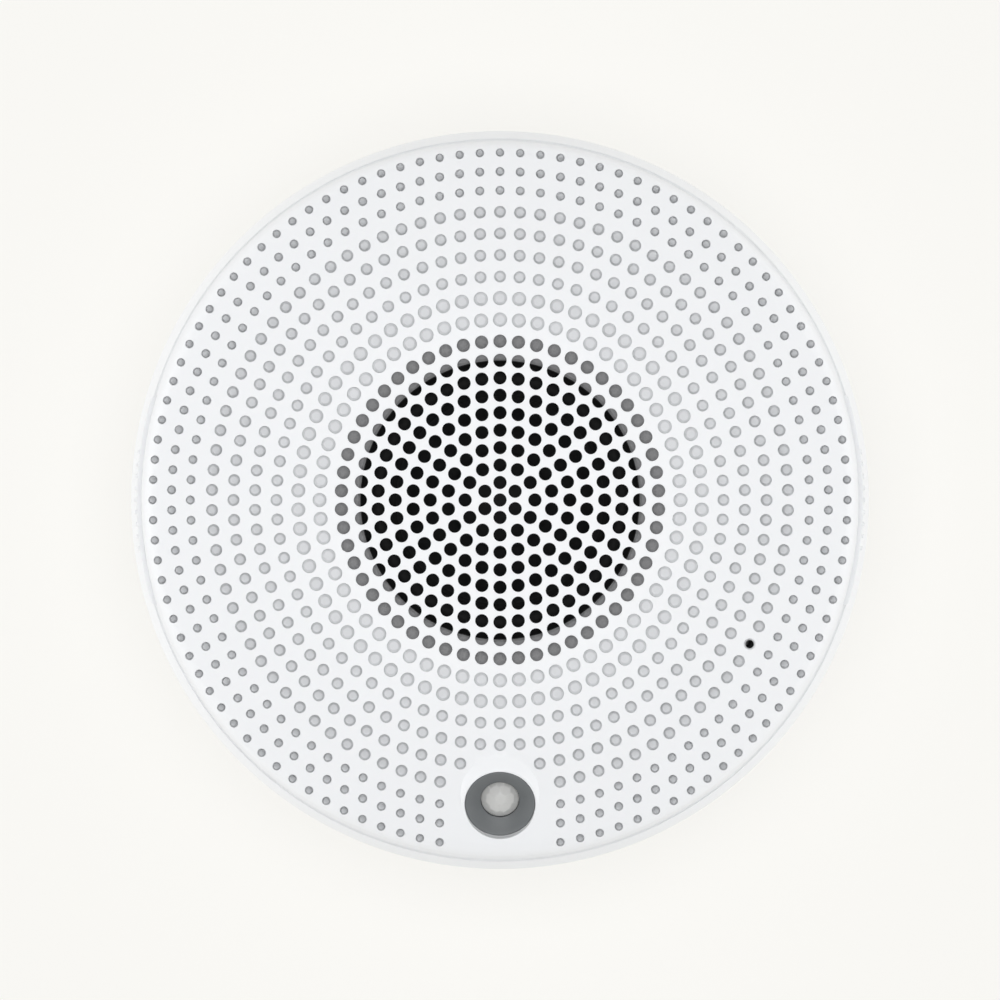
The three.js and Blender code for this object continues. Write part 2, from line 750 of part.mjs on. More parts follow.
function loudspeaker() {
  const gasketRadius = driverRadius - 0.2;
  const gasketBottom = frameFront + touchGap;
  addPiece("driver_basket", basket(), black);
  addPiece(
    "driver_gasket",
    ringSolid(gasketRadius - gasketWidth, gasketRadius, gasketBottom, ceiling - touchGap, 48),
    foamGrey,
  );
  addPiece("cone_surround", surround(), black);
  addPiece("speaker_cone", cone(), black);
  addPiece("dust_cap", dustCap(), black);
  const formerBottom = topPlateBottom - 1.1;
  addPiece("coil_former", ringSolid(coilRadius - 0.3, coilRadius, formerBottom, coneNeck + 0.4, 28), milky);
  addPiece(
    "voice_coil",
    ringSolid(coilRadius + 0.05, coilRadius + 0.6, topPlateBottom - 1.5, topPlateTop + 1.5, 28),
    copper,
  );
  addPiece("spider", spider(), cloth);
  addPiece("top_plate", ringSolid(coilRadius + 1.1, magnetRadius - 2, topPlateBottom, topPlateTop), steel);
  addPiece("magnet", ringSolid(coilRadius + 3.6, magnetRadius, magnetBottom, topPlateBottom), ferrite);
  addPiece("pole_and_back_plate", poleAndBackPlate(), steel);
  const stripLow = [stripX, -5, frameBack - 6];
  addPiece("terminal_strip", block(stripLow, [stripX + stripThickness, 5, frameBack]), cloth);
  [-3, 3].forEach((y, i) => {
    const low = [tagX, y - 1, frameBack - 8];
    const high = [tagX + tagThickness, y + 1, frameBack - 3];
    addPiece("terminal_tag_" + (i + 1), block(low, high), steel);
  });
  cornerAngles.forEach((angle, i) => {
    const [x, y] = polar(driverScrewCircle, angle);
    addPiece("driver_screw_" + (i + 1), screw(x, y, frameBack - touchGap, 4.3, true), steel);
  });
}

// ---------- motion sensor and microphone ----------

const cupFlangeTop = collarBottom - fitGap;
const lensFlangeTop = cupFlangeTop - flangeThickness - fitGap;
const lensFlangeThickness = 0.8;

function sensorCup() {
  const rimWidth = 0.25;
  const outline = [
    [lensRadius + fitGap, cupFlangeTop - flangeThickness],
    [cupRadius + cupFlange, cupFlangeTop - flangeThickness],
    [cupRadius + cupFlange, cupFlangeTop],
    [cupRadius, cupFlangeTop],
    [cupRadius, 0],
    [cupRadius - rimWidth, 0],
    [lensRadius + fitGap, -cupDepth],
  ];
  return turned(outline, 28);
}

function sensorLens() {
  const sheet = 0.5;
  const flangeReach = 2.2;
  const flangeBottom = lensFlangeTop - lensFlangeThickness;
  const springLine = -lensDomeHeight;
  const dome = (radius, height) => {
    const sphere = (radius * radius + height * height) / (2 * height);
    const half = Math.asin(radius / sphere);
    const points = [];
    for (let i = 0; i <= 4; i += 1) {
      const turn = (half * i) / 4;
      points.push([sphere * Math.sin(turn), springLine + height - sphere * (1 - Math.cos(turn))]);
    }
    return points;
  };
  const outline = [
    ...dome(lensRadius, lensDomeHeight),
    [lensRadius, lensFlangeTop],
    [lensRadius + flangeReach, lensFlangeTop],
    [lensRadius + flangeReach, flangeBottom],
    [lensRadius - sheet, flangeBottom],
    ...dome(lensRadius - sheet, lensDomeHeight - sheet).reverse(),
  ];
  return turned(outline, 24);
}

function motionSensor() {
  const canHeight = 4;
  const canRim = 0.6;
  const canInset = 0.5;
  const sensorBoardThickness = 1.2;
  const canTop = lensFlangeTop - lensFlangeThickness - fitGap;
  const canBottom = canTop - canHeight;
  const half = sensorBoardSize / 2;
  const sensorBoardTop = canBottom - fitGap;
  const can = [
    [0, canBottom],
    [detectorRadius, canBottom],
    [detectorRadius, canBottom + canRim],
    [detectorRadius - canInset, canBottom + canRim],
    [detectorRadius - canInset, canTop],
    [0, canTop],
  ];
  addPiece("sensor_cup", sensorCup(), darkGrey, sensorFrame);
  addPiece("sensor_lens", sensorLens(), milky, sensorFrame);
  addPiece("sensor_detector", turned(can, 24), steel, sensorFrame);
  addPiece(
    "sensor_board",
    block([-half + 1, -half, sensorBoardTop - sensorBoardThickness], [half - 1, half, sensorBoardTop]),
    boardGreen,
    sensorFrame,
  );
}

function microphone() {
  const bootHeight = 2.2;
  const capsuleHeight = 1.1;
  const bootTop = -wall - fitGap;
  const bootBottom = bootTop - bootHeight;
  const capsuleBottom = bootBottom - fitGap - capsuleHeight;
  addPiece(
    "microphone_boot",
    ringSolid(microphoneHoleRadius, 3, bootBottom, bootTop, 16),
    black,
    microphoneFrame,
  );
  addPiece(
    "microphone_capsule",
    block([-2, -1.5, capsuleBottom], [2, 1.5, bootBottom - fitGap]),
    steel,
    microphoneFrame,
  );
  addPiece(
    "microphone_board",
    block([-4, -4, capsuleBottom - fitGap - 1], [4, 4, capsuleBottom - fitGap]),
    boardGreen,
    microphoneFrame,
  );
}

// ---------- electronics ----------

function mainBoard() {
  const sensorRoom = 16;
  const low = boardHeight - seatOverlap;
  const high = boardTop + seatOverlap;
  const ring = solid(ringSolid(boardInnerRadius, boardRadius, boardHeight, boardTop, 56));
  const holes = boardPillarAngles.map((angle) => {
    return bar(screwBoreRadius, low, high, 10, ...polar(boardPillarCircle, angle));
  });
  const notchTop = [boardRadius, sensorRoom - sensorRadius, high];
  const sensorNotch = block([-boardRadius, -overallRadius, low], notchTop);
  return geometryOf(cut(ring, [...holes, sensorNotch]));
}

function networkSocket() {
  const floor = 2;
  const latchHalfWidth = 3.2;
  const latchRise = 2.4;
  const low = [socketFront - socketSize.x, socketCentreY - socketSize.y / 2, boardHeight - socketSize.z];
  const high = [socketFront, socketCentreY + socketSize.y / 2, boardHeight];
  const mouthBottom = low[2] + floor;
  const mouthTop = mouthBottom + socketMouth.z;
  const mouthBack = socketFront - socketMouth.x;
  const mouthFront = socketFront + seatOverlap;
  const mouth = block(
    [mouthBack, socketCentreY - socketMouth.y / 2, mouthBottom],
    [mouthFront, socketCentreY + socketMouth.y / 2, mouthTop],
  );
  const latchSlot = block(
    [mouthBack, socketCentreY - latchHalfWidth, mouthBottom + 1],
    [mouthFront, socketCentreY + latchHalfWidth, mouthTop + latchRise],
  );
  return geometryOf(cut(solid(block(low, high)), [mouth, latchSlot]));
}

// A block-shaped component that stands on one side of the board, square to its radius.
function boardBlock(name, angle, radius, size, look, below = false) {
  const [length, width, height] = size;
  const bottom = below ? boardHeight - height : boardTop;
  const low = [radius - length / 2, -width / 2, bottom];
  const high = [radius + length / 2, width / 2, bottom + height];
  addPiece(name, block(low, high).rotateZ(radians(angle)), look);
}

function electronics() {
  addPiece("main_board", mainBoard(), boardGreen);
  addPiece("network_socket", networkSocket(), steel);
  boardBlock("power_transformer", 158, 39, [14, 14, 8], chipBlack, true);
  boardBlock("supply_inductor", 325, 42, [10, 10, 5], chipBlack, true);
  boardBlock("processor", 30, 42, [14, 14, 1.4], chipBlack);
  boardBlock("memory_chip", 52, 42, [8, 12, 1], chipBlack);
  boardBlock("amplifier_chip", 335, 38, [8, 8, 1.2], chipBlack);
  boardBlock("output_inductor_1", 346, 47, [7, 7, 4], chipBlack);
  boardBlock("output_inductor_2", 324, 47, [7, 7, 4], chipBlack);
  boardBlock("speaker_connector", 0, speakerPlugCircle, speakerPlug.size, milky);
  boardBlock("sensor_connector", sensorPlug.angle, sensorPlug.circle, sensorPlug.size, milky);
  [352, 6].forEach((angle, i) => {
    const capacitor = bar(4, boardHeight - 9, boardHeight, 16, ...polar(42, angle));
    addPiece("supply_capacitor_" + (i + 1), capacitor, steel);
  });
  boardPillarAngles.forEach((angle, i) => {
    const geometry = screw(...polar(boardPillarCircle, angle), boardTop, 8, false);
    addPiece("board_screw_" + (i + 1), geometry, steel);
  });
  resetKeyAndLight();
}

function resetKeyAndLight() {
  const switchSize = [6, 6, 3.5];
  const lightSize = [3, 2, 1];
  const buttonRecess = 0.6;
  const flange = 0.8;
  const restGap = 0.3;
  const buttonBottom = backWallBottom + buttonRecess;
  const buttonTop = boardHeight - switchSize[2] - buttonTravel - restGap;
  const button = [
    [0, buttonBottom],
    [buttonRadius, buttonBottom],
    [buttonRadius, buttonTop - 1],
    [buttonRadius + flange, buttonTop - 1],
    [buttonRadius + flange, buttonTop],
    [0, buttonTop],
  ];
  boardBlock("reset_switch", buttonAngle, buttonCircle, switchSize, chipBlack, true);
  addPiece("reset_button", turned(button, 14).translate(...buttonPlace, 0), darkGrey);

  boardBlock("status_light", lightAngle, lightCircle, lightSize, clearPlastic, true);
  const guideTop = boardHeight - lightSize[2] - touchGap;
  const guide = bar(lightGuideRadius, backWallBottom + 0.2, guideTop, 12, ...lightPlace);
  addPiece("light_guide", guide, clearPlastic);
}

function speakerLead(name, y, end, look) {
  const radius = 0.7;
  const start = tagX + tagThickness + radius + 0.2;
  const plug = speakerPlugCircle - speakerPlug.size[0] / 2 - radius - 0.2;
  const route = [
    [start, y, frameBack - 4],
    [start + 1.4, y, frameBack - 7],
    [start + 2.6, (y + end) / 2, boardTop + 4],
    [plug - 1.2, end, boardTop + 2],
    [plug, end, boardTop + 1.8],
  ];
  addPiece(name, tube(route, radius), look);
}

function leads() {
  speakerLead("speaker_lead_black", -3, -1.6, black);
  speakerLead("speaker_lead_red", 3, 1.6, redLead);
  const sensorEnd = new THREE.Vector3(0, 0, -14.6).applyMatrix4(sensorFrame.matrixWorld);
  const plugFront = sensorPlug.circle + sensorPlug.size[0] / 2 + 0.9;
  const [plugX, plugY] = polar(plugFront, sensorPlug.angle);
  const sensorRoute = [
    [sensorEnd.x, sensorEnd.y, sensorEnd.z],
    [-2, sensorEnd.y + 2.5, boardTop + 3.6],
    [-8, -46, boardTop + 3.5],
    [plugX - 0.8, plugY - 2.2, boardTop + 2.2],
    [plugX, plugY, boardTop + 1.8],
  ];
  addPiece("sensor_lead", tube(sensorRoute, 0.8), darkGrey);
  const micEnd = new THREE.Vector3(0, 0, -9.4).applyMatrix4(microphoneFrame.matrixWorld);
  const [landX, landY] = polar(microphoneRadius - 6.6, microphoneAngle);
  const micRoute = [
    [micEnd.x, micEnd.y, micEnd.z],
    [micEnd.x - 0.6, micEnd.y + 0.3, micEnd.z - 2.5],
    [landX + 1, landY - 0.6, boardTop + 3.5],
    [landX, landY, boardTop + 0.4],
  ];
  addPiece("microphone_lead", tube(micRoute, 0.6, 10), darkGrey);
}

// ---------- the whole speaker ----------

const housingScrewLength = 10;

addPiece("mounting_plate", mountingPlate(), steel);
addPiece("rear_housing", rearHousing(), white);
addPiece("front_cover", frontCover(), white);
cornerAngles.forEach((angle, i) => {
  const geometry = screw(...polar(postCircle, angle), backWallTop - touchGap, housingScrewLength, true);
  addPiece("housing_screw_" + (i + 1), geometry, steel);
});
loudspeaker();
motionSensor();
microphone();
electronics();
leads();

export default speaker;
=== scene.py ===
import math

import bmesh
import bpy
from mathutils import Matrix, Vector


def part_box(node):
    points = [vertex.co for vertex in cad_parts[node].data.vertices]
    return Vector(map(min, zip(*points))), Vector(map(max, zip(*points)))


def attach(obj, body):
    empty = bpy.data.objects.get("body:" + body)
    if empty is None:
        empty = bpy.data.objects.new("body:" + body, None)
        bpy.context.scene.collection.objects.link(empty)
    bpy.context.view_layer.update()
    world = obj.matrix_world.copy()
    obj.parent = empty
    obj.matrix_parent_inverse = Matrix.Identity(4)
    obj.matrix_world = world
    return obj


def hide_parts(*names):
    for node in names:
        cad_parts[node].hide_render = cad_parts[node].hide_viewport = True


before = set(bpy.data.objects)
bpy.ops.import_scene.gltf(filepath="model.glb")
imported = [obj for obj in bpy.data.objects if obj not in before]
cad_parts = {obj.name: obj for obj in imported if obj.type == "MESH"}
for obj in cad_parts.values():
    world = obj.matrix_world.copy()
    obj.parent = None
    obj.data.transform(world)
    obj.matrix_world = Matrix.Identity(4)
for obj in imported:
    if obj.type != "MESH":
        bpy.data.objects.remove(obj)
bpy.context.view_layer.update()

bl_info = {
    "name": "Network Mini Speaker",
    "version": (1, 0, 0),
    "blender": (4, 5, 0),
    "location": "3D View > Sidebar > Speaker",
    "description": "Builds the surfaces of a round network mini speaker around its packed frame",
    "category": "Object",
}

MM = 0.001
UNIT = "speaker_unit"
MOUNT = "wall_mount"
CONE = "cone_assembly"
KEY = "reset_key"


# ---------- sizes ----------


def low(node):
    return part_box(node)[0]


def high(node):
    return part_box(node)[1]


# Read from the frame
CROWN = high("front_cover").z
COVER_FOOT = low("front_cover").z
HOUSING_RADIUS = high("rear_housing").y
HOUSING_FOOT = low("rear_housing").z
PLATE_RADIUS = high("mounting_plate").y
FRAME_BACK = low("terminal_strip").z + 6 * MM
DRIVER_RADIUS = high("driver_gasket").y + 0.2 * MM
FRAME_FRONT = high("driver_basket").z
MAGNET_RADIUS = high("magnet").y
TOP_PLATE_TOP = high("top_plate").z
BOARD_BOTTOM = low("main_board").z
BOARD_TOP = high("main_board").z
BACK_WALL_TOP = low("housing_screw_1").z + 1.7 * MM

# Shared by several pieces, as in the frame
BEAD = 0.3 * MM
COVER_RADIUS = high("front_cover").y - BEAD
COVER_WALL = 2.4 * MM
CEILING = CROWN - COVER_WALL
HOUSING_WALL = 2.0 * MM
BACK_WALL_BOTTOM = BACK_WALL_TOP - HOUSING_WALL
SKIRT_TOP = COVER_FOOT - 0.6 * MM
FIT_GAP = 0.35 * MM
CLOSE_GAP = 0.08 * MM
SCREW_BORE = 1.6 * MM
CORNERS = (45, 135, 225, 315)
PILLARS = (15, 165, 235, 305)
HOOKS = (100, 220, 340)
BOSS_CIRCLE = 38.2 * MM
POST_CIRCLE = COVER_RADIUS - COVER_WALL - 5.7 * MM
PILLAR_CIRCLE = 50.0 * MM
HOOK_CIRCLE = PLATE_RADIUS - 6.0 * MM
LOCK_TURN = 15
CONE_TRAVEL = 1.5 * MM

# The dome: flat over the driver, then falling away to the shoulder
DOME_FLAT = DRIVER_RADIUS - 0.4 * MM
DOME_EDGE = COVER_RADIUS - 3.3 * MM
DOME_DROP = 7.3 * MM
DOME_POWER = 1.35
DOME_SPAN = DOME_EDGE - DOME_FLAT


def dome_height(radius):
    run = max(0.0, radius - DOME_FLAT) / DOME_SPAN
    return CROWN - DOME_DROP * run**DOME_POWER


def dome_slope(radius):
    """Slope of the dome in radians."""
    run = max(0.0, radius - DOME_FLAT) / DOME_SPAN
    return math.atan(DOME_DROP * DOME_POWER * run ** (DOME_POWER - 1) / DOME_SPAN)


EDGE_SLOPE = dome_slope(DOME_EDGE)
SHOULDER_ROUND = (COVER_RADIUS - DOME_EDGE) / (1 - math.sin(EDGE_SLOPE))
SHOULDER_CENTRE = COVER_RADIUS - SHOULDER_ROUND
SHOULDER_FOOT = dome_height(DOME_EDGE) - SHOULDER_ROUND * math.cos(EDGE_SLOPE)

# Motion sensor and microphone
SENSOR_RADIUS = HOUSING_RADIUS - 13.2 * MM
SENSOR_TILT = 25
CUP_RADIUS = 7.1 * MM
CUP_DEPTH = 2.05 * MM
CUP_FLANGE = 1.9 * MM
LENS_RADIUS = 3.85 * MM
COLLAR_BOTTOM = -4.3 * MM
CUP_FLANGE_TOP = COLLAR_BOTTOM - FIT_GAP
CUP_FLANGE_BOTTOM = CUP_FLANGE_TOP - 1.2 * MM
LENS_FLANGE_TOP = CUP_FLANGE_BOTTOM - FIT_GAP
LENS_FLANGE_BOTTOM = LENS_FLANGE_TOP - 0.8 * MM
DETECTOR_TOP = LENS_FLANGE_BOTTOM - FIT_GAP
MICROPHONE_RADIUS = HOUSING_RADIUS - 16.4 * MM
MICROPHONE_ANGLE = -30

# Lock between the rear housing and the mounting plate
HOOK_HALF_THICK = 1.0 * MM
NECK_HALF_WIDTH = 2.5 * MM
HEAD_HALF_WIDTH = 3.9 * MM
LOCK_GAP = 0.6 * MM


# ---------- settings ----------


def length_setting(name, description, default):
    return bpy.props.FloatProperty(
        name=name,
        description=description,
        default=default,
        precision=5,
        unit="LENGTH",
        subtype="DISTANCE",
    )


def colour_setting(name, description, default):
    return bpy.props.FloatVectorProperty(
        name=name,
        description=description,
        default=default,
        min=0.0,
        max=1.0,
        subtype="COLOR",
        size=3,
    )


class SpeakerGrille(bpy.types.PropertyGroup):
    """Sizes of the hole pattern."""

    inner_pitch: length_setting("Inner pitch", "Distance between the rings of through holes", 3.548 * MM)
    step_to_dimples: length_setting("Step", "Distance from ring 8 to ring 9, at the frame's edge", 3.91 * MM)
    outer_pitch: length_setting("Outer pitch", "Distance between the rings of blind dimples", 4.38 * MM)
    edge_pitch: length_setting("Edge pitch", "Distance between the last rings, by the shoulder", 3.845 * MM)
    hole_radius: length_setting("Hole radius", "Radius of a through hole", 1.35 * MM)
    dimple_depth: length_setting("Dimple depth", "Depth of a blind dimple", 1.85 * MM)
    sensor_clearance: length_setting("Plain area", "Radius of the plain area by the sensor", 11.6 * MM)
    rings: bpy.props.IntProperty(
        name="Rings",
        description="Number of rings round the centre hole",
        default=18,
        min=1,
    )
    through_rings: bpy.props.IntProperty(
        name="Through rings",
        description="Number of rings whose holes go through, over the driver",
        default=9,
        min=1,
    )


class SpeakerColours(bpy.types.PropertyGroup):
    """Colours of the surfaces that show."""

    cover: colour_setting("Cover", "Colour of the moulded cover and housing", (0.875, 0.887, 0.903))
    cup: colour_setting("Sensor cup", "Colour of the cup round the motion sensor", (0.150, 0.160, 0.165))
    lens: colour_setting("Sensor lens", "Colour of the milky lens", (0.565, 0.567, 0.555))
    foam: colour_setting("Foam ring", "Colour of the foam ring between driver and cover", (0.30, 0.30, 0.305))


class SpeakerStage(bpy.types.PropertyGroup):
    """Floor, light and camera."""

    floor: colour_setting("Floor", "Colour of the floor", (0.943, 0.934, 0.901))
    view_width: length_setting("View width", "Width that the camera takes in", 203.3 * MM)
    key_power: bpy.props.FloatProperty(
        name="Overhead light",
        description="Power of the overhead light",
        default=1.72,
        min=0.0,
        unit="POWER",
    )
    side_power: bpy.props.FloatProperty(
        name="Side lights",
        description="Power that the four lights round the speaker take their shares of",
        default=1.8,
        min=0.0,
        unit="POWER",
    )


# ---------- node trees ----------


class Field:
    """One output of a node tree, with arithmetic on it."""

    def __init__(self, maker, output):
        self.maker = maker
        self.output = output

    def math(self, operation, other=None, swapped=False):
        if other is None:
            values = {0: self}
        elif swapped:
            values = {0: other, 1: self}
        else:
            values = {0: self, 1: other}
        return self.maker.node("ShaderNodeMath", {"operation": operation}, values)

    def __add__(self, other):
        return self.math("ADD", other)

    def __sub__(self, other):
        return self.math("SUBTRACT", other)

    def __rsub__(self, other):
        return self.math("SUBTRACT", other, swapped=True)

    def __mul__(self, other):
        return self.math("MULTIPLY", other)

    def __truediv__(self, other):
        return self.math("DIVIDE", other)

    def __rtruediv__(self, other):
        return self.math("DIVIDE", other, swapped=True)

    def __pow__(self, other):
        return self.math("POWER", other)

    def __rpow__(self, other):
        return self.math("POWER", other, swapped=True)

    def __lt__(self, other):
        return self.math("LESS_THAN", other)

    def __gt__(self, other):
        return self.math("GREATER_THAN", other)

    __radd__ = __add__
    __rmul__ = __mul__

    def clamped(self, least, most):
        return self.math("MAXIMUM", least).math("MINIMUM", most)

    def beside(self, name):
        """Another output of the same node."""
        return Field(self.maker, self.output.node.outputs[name])


class NodeMaker:
    """Adds nodes to a tree."""

    def __init__(self, tree):
        self.tree = tree

    def fill(self, sockets, inputs):
        """Links fields to sockets, a list of them to one that takes several, or sets their values."""
        for key, value in inputs.items():
            if isinstance(value, (Field, list)):
                for field in value if isinstance(value, list) else [value]:
                    self.tree.links.new(field.output, sockets[key])
            else:
                sockets[key].default_value = value

    def node(self, kind, settings=None, inputs=None, output=0):
        """Settings first, then the values or links of the sockets. An end node has no output."""
        made = self.tree.nodes.new(kind)
        for name, value in (settings or {}).items():
            setattr(made, name, value)
        self.fill(made.inputs, inputs or {})
        return Field(self, made.outputs[output]) if made.outputs else None

    def vector(self, x, y, z):
        return self.node("ShaderNodeCombineXYZ", {}, {"X": x, "Y": y, "Z": z})

    def mix(self, factor, first, second):
        values = {"Factor": factor, "A": first, "B": second}
        return self.node("ShaderNodeMix", {"data_type": "RGBA"}, values, output=2)


def cover_height(crown, radius):
    """Height of the cover's outer surface, dome and shoulder, at a radius that is a field."""
    run = (radius - DOME_FLAT).math("MAXIMUM", 0.0) / DOME_SPAN
    dome = crown - run**DOME_POWER * DOME_DROP
    from_centre = radius - SHOULDER_CENTRE
    rise = (SHOULDER_ROUND**2 - from_centre * from_centre).math("MAXIMUM", 0.0) ** 0.5
    past_edge = radius > DOME_EDGE
    return dome * (1.0 - past_edge) + (rise + SHOULDER_FOOT) * past_edge


# ---------- finishes ----------


class Finish(NodeMaker):
    """A material built round one Principled shader, reading Object coordinates."""

    def __init__(self, name):
        self.material = bpy.data.materials.new(name)
        self.material.use_nodes = True
        super().__init__(self.material.node_tree)
        self.shader = self.tree.nodes["Principled BSDF"]
        self.place = self.node("ShaderNodeTexCoord", output="Object")

    def noise(self, size, detail=2.0, stretch=(1.0, 1.0, 1.0)):
        """Noise whose features are about size metres across."""
        place = self.place
        if stretch != (1.0, 1.0, 1.0):
            place = self.node("ShaderNodeMapping", {}, {"Vector": place, "Scale": stretch})
        values = {"Vector": place, "Scale": 1.0 / size, "Detail": detail}
        return self.node("ShaderNodeTexNoise", {}, values, output="Fac")

    def bands(self, direction, size, distortion):
        settings = {"wave_type": "BANDS", "bands_direction": direction}
        values = {"Vector": self.place, "Scale": 1.0 / size, "Distortion": distortion}
        return self.node("ShaderNodeTexWave", settings, values, output="Fac")

    def set(self, **sockets):
        """Fills the shader's sockets, named with underscores for spaces."""
        self.fill(self.shader.inputs, {name.replace("_", " "): value for name, value in sockets.items()})
        return self

    def bump(self, height, distance):
        return self.set(Normal=self.node("ShaderNodeBump", {}, {"Height": height, "Distance": distance}))

    def tone(self, colour, factor, spread):
        """A colour that varies by spread either side of itself."""
        dark = (*(channel * (1.0 - spread) for channel in colour), 1.0)
        light = (*(min(1.0, channel * (1.0 + spread)) for channel in colour), 1.0)
        return self.mix(factor, dark, light)


def painted_shade_under_dome(finish):
    """Painted shade: 0 at the cover's outer surface and up to 0.5 in a hole or dimple, most towards the
    shoulder.
    """
    skin = 0.1 * MM
    fade = 0.5 * MM
    x = finish.node("ShaderNodeSeparateXYZ", {}, {"Vector": finish.place})
    y, z = x.beside("Y"), x.beside("Z")
    radius = (x * x + y * y) ** 0.5
    within = radius < DOME_EDGE + 2.5 * MM
    # How deep a point lies under the cover's surface, which sets the painted shade.
    painted_shade_mask = ((cover_height(CROWN, radius) - z - skin) / fade).clamped(0.0, 1.0) * within
    return (radius / (225 * MM) + 0.2) * painted_shade_mask


def moulded_plastic(name, colour, roughness, grain=0.25 * MM, depth=0.006 * MM, spread=0.012):
    finish = Finish(name)
    texture = finish.noise(grain, 3.0)
    drift = finish.noise(18 * MM)
    finish.set(Base_Color=finish.tone(colour, drift, spread))
    finish.set(Roughness=texture * 0.08 + (roughness - 0.04))
    finish.set(IOR=1.49)
    return finish.bump(texture, depth).material


def cover_plastic(name, colour):
    """Satin white plastic, with painted shade that makes it greyer in the holes and dimples."""
    finish = Finish(name)
    texture = finish.noise(0.25 * MM, 3.0)
    drift = finish.noise(18 * MM)
    # Painted shade: the base colour darkens towards 0.45 of itself in the holes and dimples, most towards the
    # shoulder.
    painted_shade_mask = painted_shade_under_dome(finish)
    painted_shade_colour = (*(channel * 0.45 for channel in colour), 1.0)
    finish.set(Base_Color=finish.mix(painted_shade_mask, finish.tone(colour, drift, 0.012), painted_shade_colour))
    finish.set(Roughness=texture * 0.08 + painted_shade_mask * 0.15 + 0.42)
    finish.set(IOR=1.49)
    return finish.bump(texture, 0.006 * MM).material


def milky_lens(name, colour):
    finish = Finish(name)
    haze = finish.noise(1.2 * MM, 3.0)
    ripple = finish.noise(0.2 * MM)
    finish.set(Base_Color=finish.tone(colour, haze, 0.05), Roughness=haze * 0.12 + 0.34)
    finish.set(IOR=1.5)
    return finish.bump(ripple, 0.003 * MM).material


def rubber(name, colour, roughness):
    finish = Finish(name)
    skin = finish.noise(0.4 * MM, 4.0)
    dust = finish.noise(6 * MM)
    finish.set(Base_Color=finish.tone(colour, dust, 0.15), Roughness=skin * 0.15 + (roughness - 0.07))
    finish.set(IOR=1.35)
    return finish.bump(skin, 0.01 * MM).material


def foam(name, colour):
    finish = Finish(name)
    values = {"Vector": finish.place, "Scale": 1.0 / (0.45 * MM)}
    cells = finish.node("ShaderNodeTexVoronoi", {"feature": "F1"}, values, output="Distance")
    blotch = finish.noise(3 * MM, 3.0)
    finish.set(Base_Color=finish.tone(colour, cells * 0.6 + blotch * 0.4, 0.12))
    finish.set(Roughness=blotch * 0.06 + 0.9)
    return finish.bump(cells, 0.08 * MM).material


def paper_pulp(name, colour):
    finish = Finish(name)
    fibres = finish.noise(0.5 * MM, 6.0, stretch=(1.0, 2.5, 1.0))
    patches = finish.noise(5 * MM, 3.0)
    finish.set(Base_Color=finish.tone(colour, fibres * 0.5 + patches * 0.5, 0.35))
    finish.set(Roughness=fibres * 0.2 + 0.65)
    return finish.bump(fibres, 0.03 * MM).material


def plated_metal(name, colour, roughness=0.32):
    finish = Finish(name)
    brushing = finish.noise(0.25 * MM, 3.0, stretch=(1.0, 1.0, 4.0))
    bloom = finish.noise(4 * MM, 3.0)
    finish.set(Base_Color=finish.tone(colour, bloom, 0.08))
    finish.set(Roughness=brushing * 0.16 + bloom * 0.1 + (roughness - 0.13))
    finish.set(Metallic=1.0)
    return finish.bump(brushing, 0.004 * MM).material


def powder_coat(name, colour, roughness=0.55):
    finish = Finish(name)
    orange_peel = finish.noise(0.7 * MM)
    drift = finish.noise(20 * MM)
    finish.set(Base_Color=finish.tone(colour, drift, 0.04))
    finish.set(Roughness=orange_peel * 0.12 + (roughness - 0.06))
    return finish.bump(orange_peel, 0.02 * MM).material


def sintered(name, colour):
    finish = Finish(name)
    grains = finish.noise(0.3 * MM, 5.0)
    chips = finish.noise(2.5 * MM, 4.0)
    finish.set(Base_Color=finish.tone(colour, chips, 0.25), Roughness=grains * 0.2 + 0.6)
    return finish.bump(grains, 0.03 * MM).material


def winding_wire(name, colour):
    finish = Finish(name)
    varnish = finish.noise(1.5 * MM, 3.0)
    finish.set(Base_Color=finish.tone(colour, varnish, 0.15), Roughness=varnish * 0.15 + 0.22)
    finish.set(Metallic=0.9)
    return finish.bump(varnish, 0.01 * MM).material


def woven_cloth(name, colour):
    finish = Finish(name)
    weave = finish.bands("X", 2.6 * MM, 0.4) * finish.bands("Y", 2.6 * MM, 0.4)
    finish.set(Base_Color=finish.tone(colour, weave, 0.25), Roughness=weave * 0.1 + 0.8)
    return finish.bump(weave, 0.06 * MM).material


def circuit_board(name, colour):
    finish = Finish(name)
    values = {
        "Vector": finish.place,
        "Scale": 1.0 / (9 * MM),
        "Mortar Size": 0.03,
        "Mortar Smooth": 0.1,
        "Color1": (*colour, 1.0),
        "Color2": (*(channel * 0.8 for channel in colour), 1.0),
        "Mortar": (*(channel * 2.2 for channel in colour), 1.0),
    }
    tracks = finish.node("ShaderNodeTexBrick", {"offset": 0.37}, values, output="Color")
    mask = finish.noise(2.2 * MM, 1.0)
    finish.set(Base_Color=tracks, Roughness=mask * 0.12 + 0.3)
    finish.set(Coat_Weight=0.3, Coat_Roughness=0.25)
    return finish.bump(mask, 0.02 * MM).material


def moulded_epoxy(name, colour):
    finish = Finish(name)
    grain = finish.noise(0.15 * MM, 3.0)
    finish.set(Base_Color=finish.tone(colour, grain, 0.2), Roughness=grain * 0.12 + 0.5)
    return finish.bump(grain, 0.01 * MM).material


def clear_moulding(name, colour):
    finish = Finish(name)
    flow = finish.noise(3 * MM)
    finish.set(Base_Color=finish.tone(colour, flow, 0.03), Roughness=flow * 0.06 + 0.08)
    finish.set(Transmission_Weight=0.6, IOR=1.49)
    return finish.bump(flow, 0.01 * MM).material


def floor_finish(name, colour):
    """A pale floor that keeps shadows faint."""
    finish = Finish(name)
    drift = finish.noise(400 * MM, 1.0)
    lit_share = 0.25
    paint = tuple(lit_share * channel for channel in colour)
    finish.set(Base_Color=finish.tone(paint, drift, 0.003), Roughness=0.9)
    finish.set(Emission_Color=finish.tone(colour, drift, 0.003), Emission_Strength=1.0 - lit_share)
    return finish.material


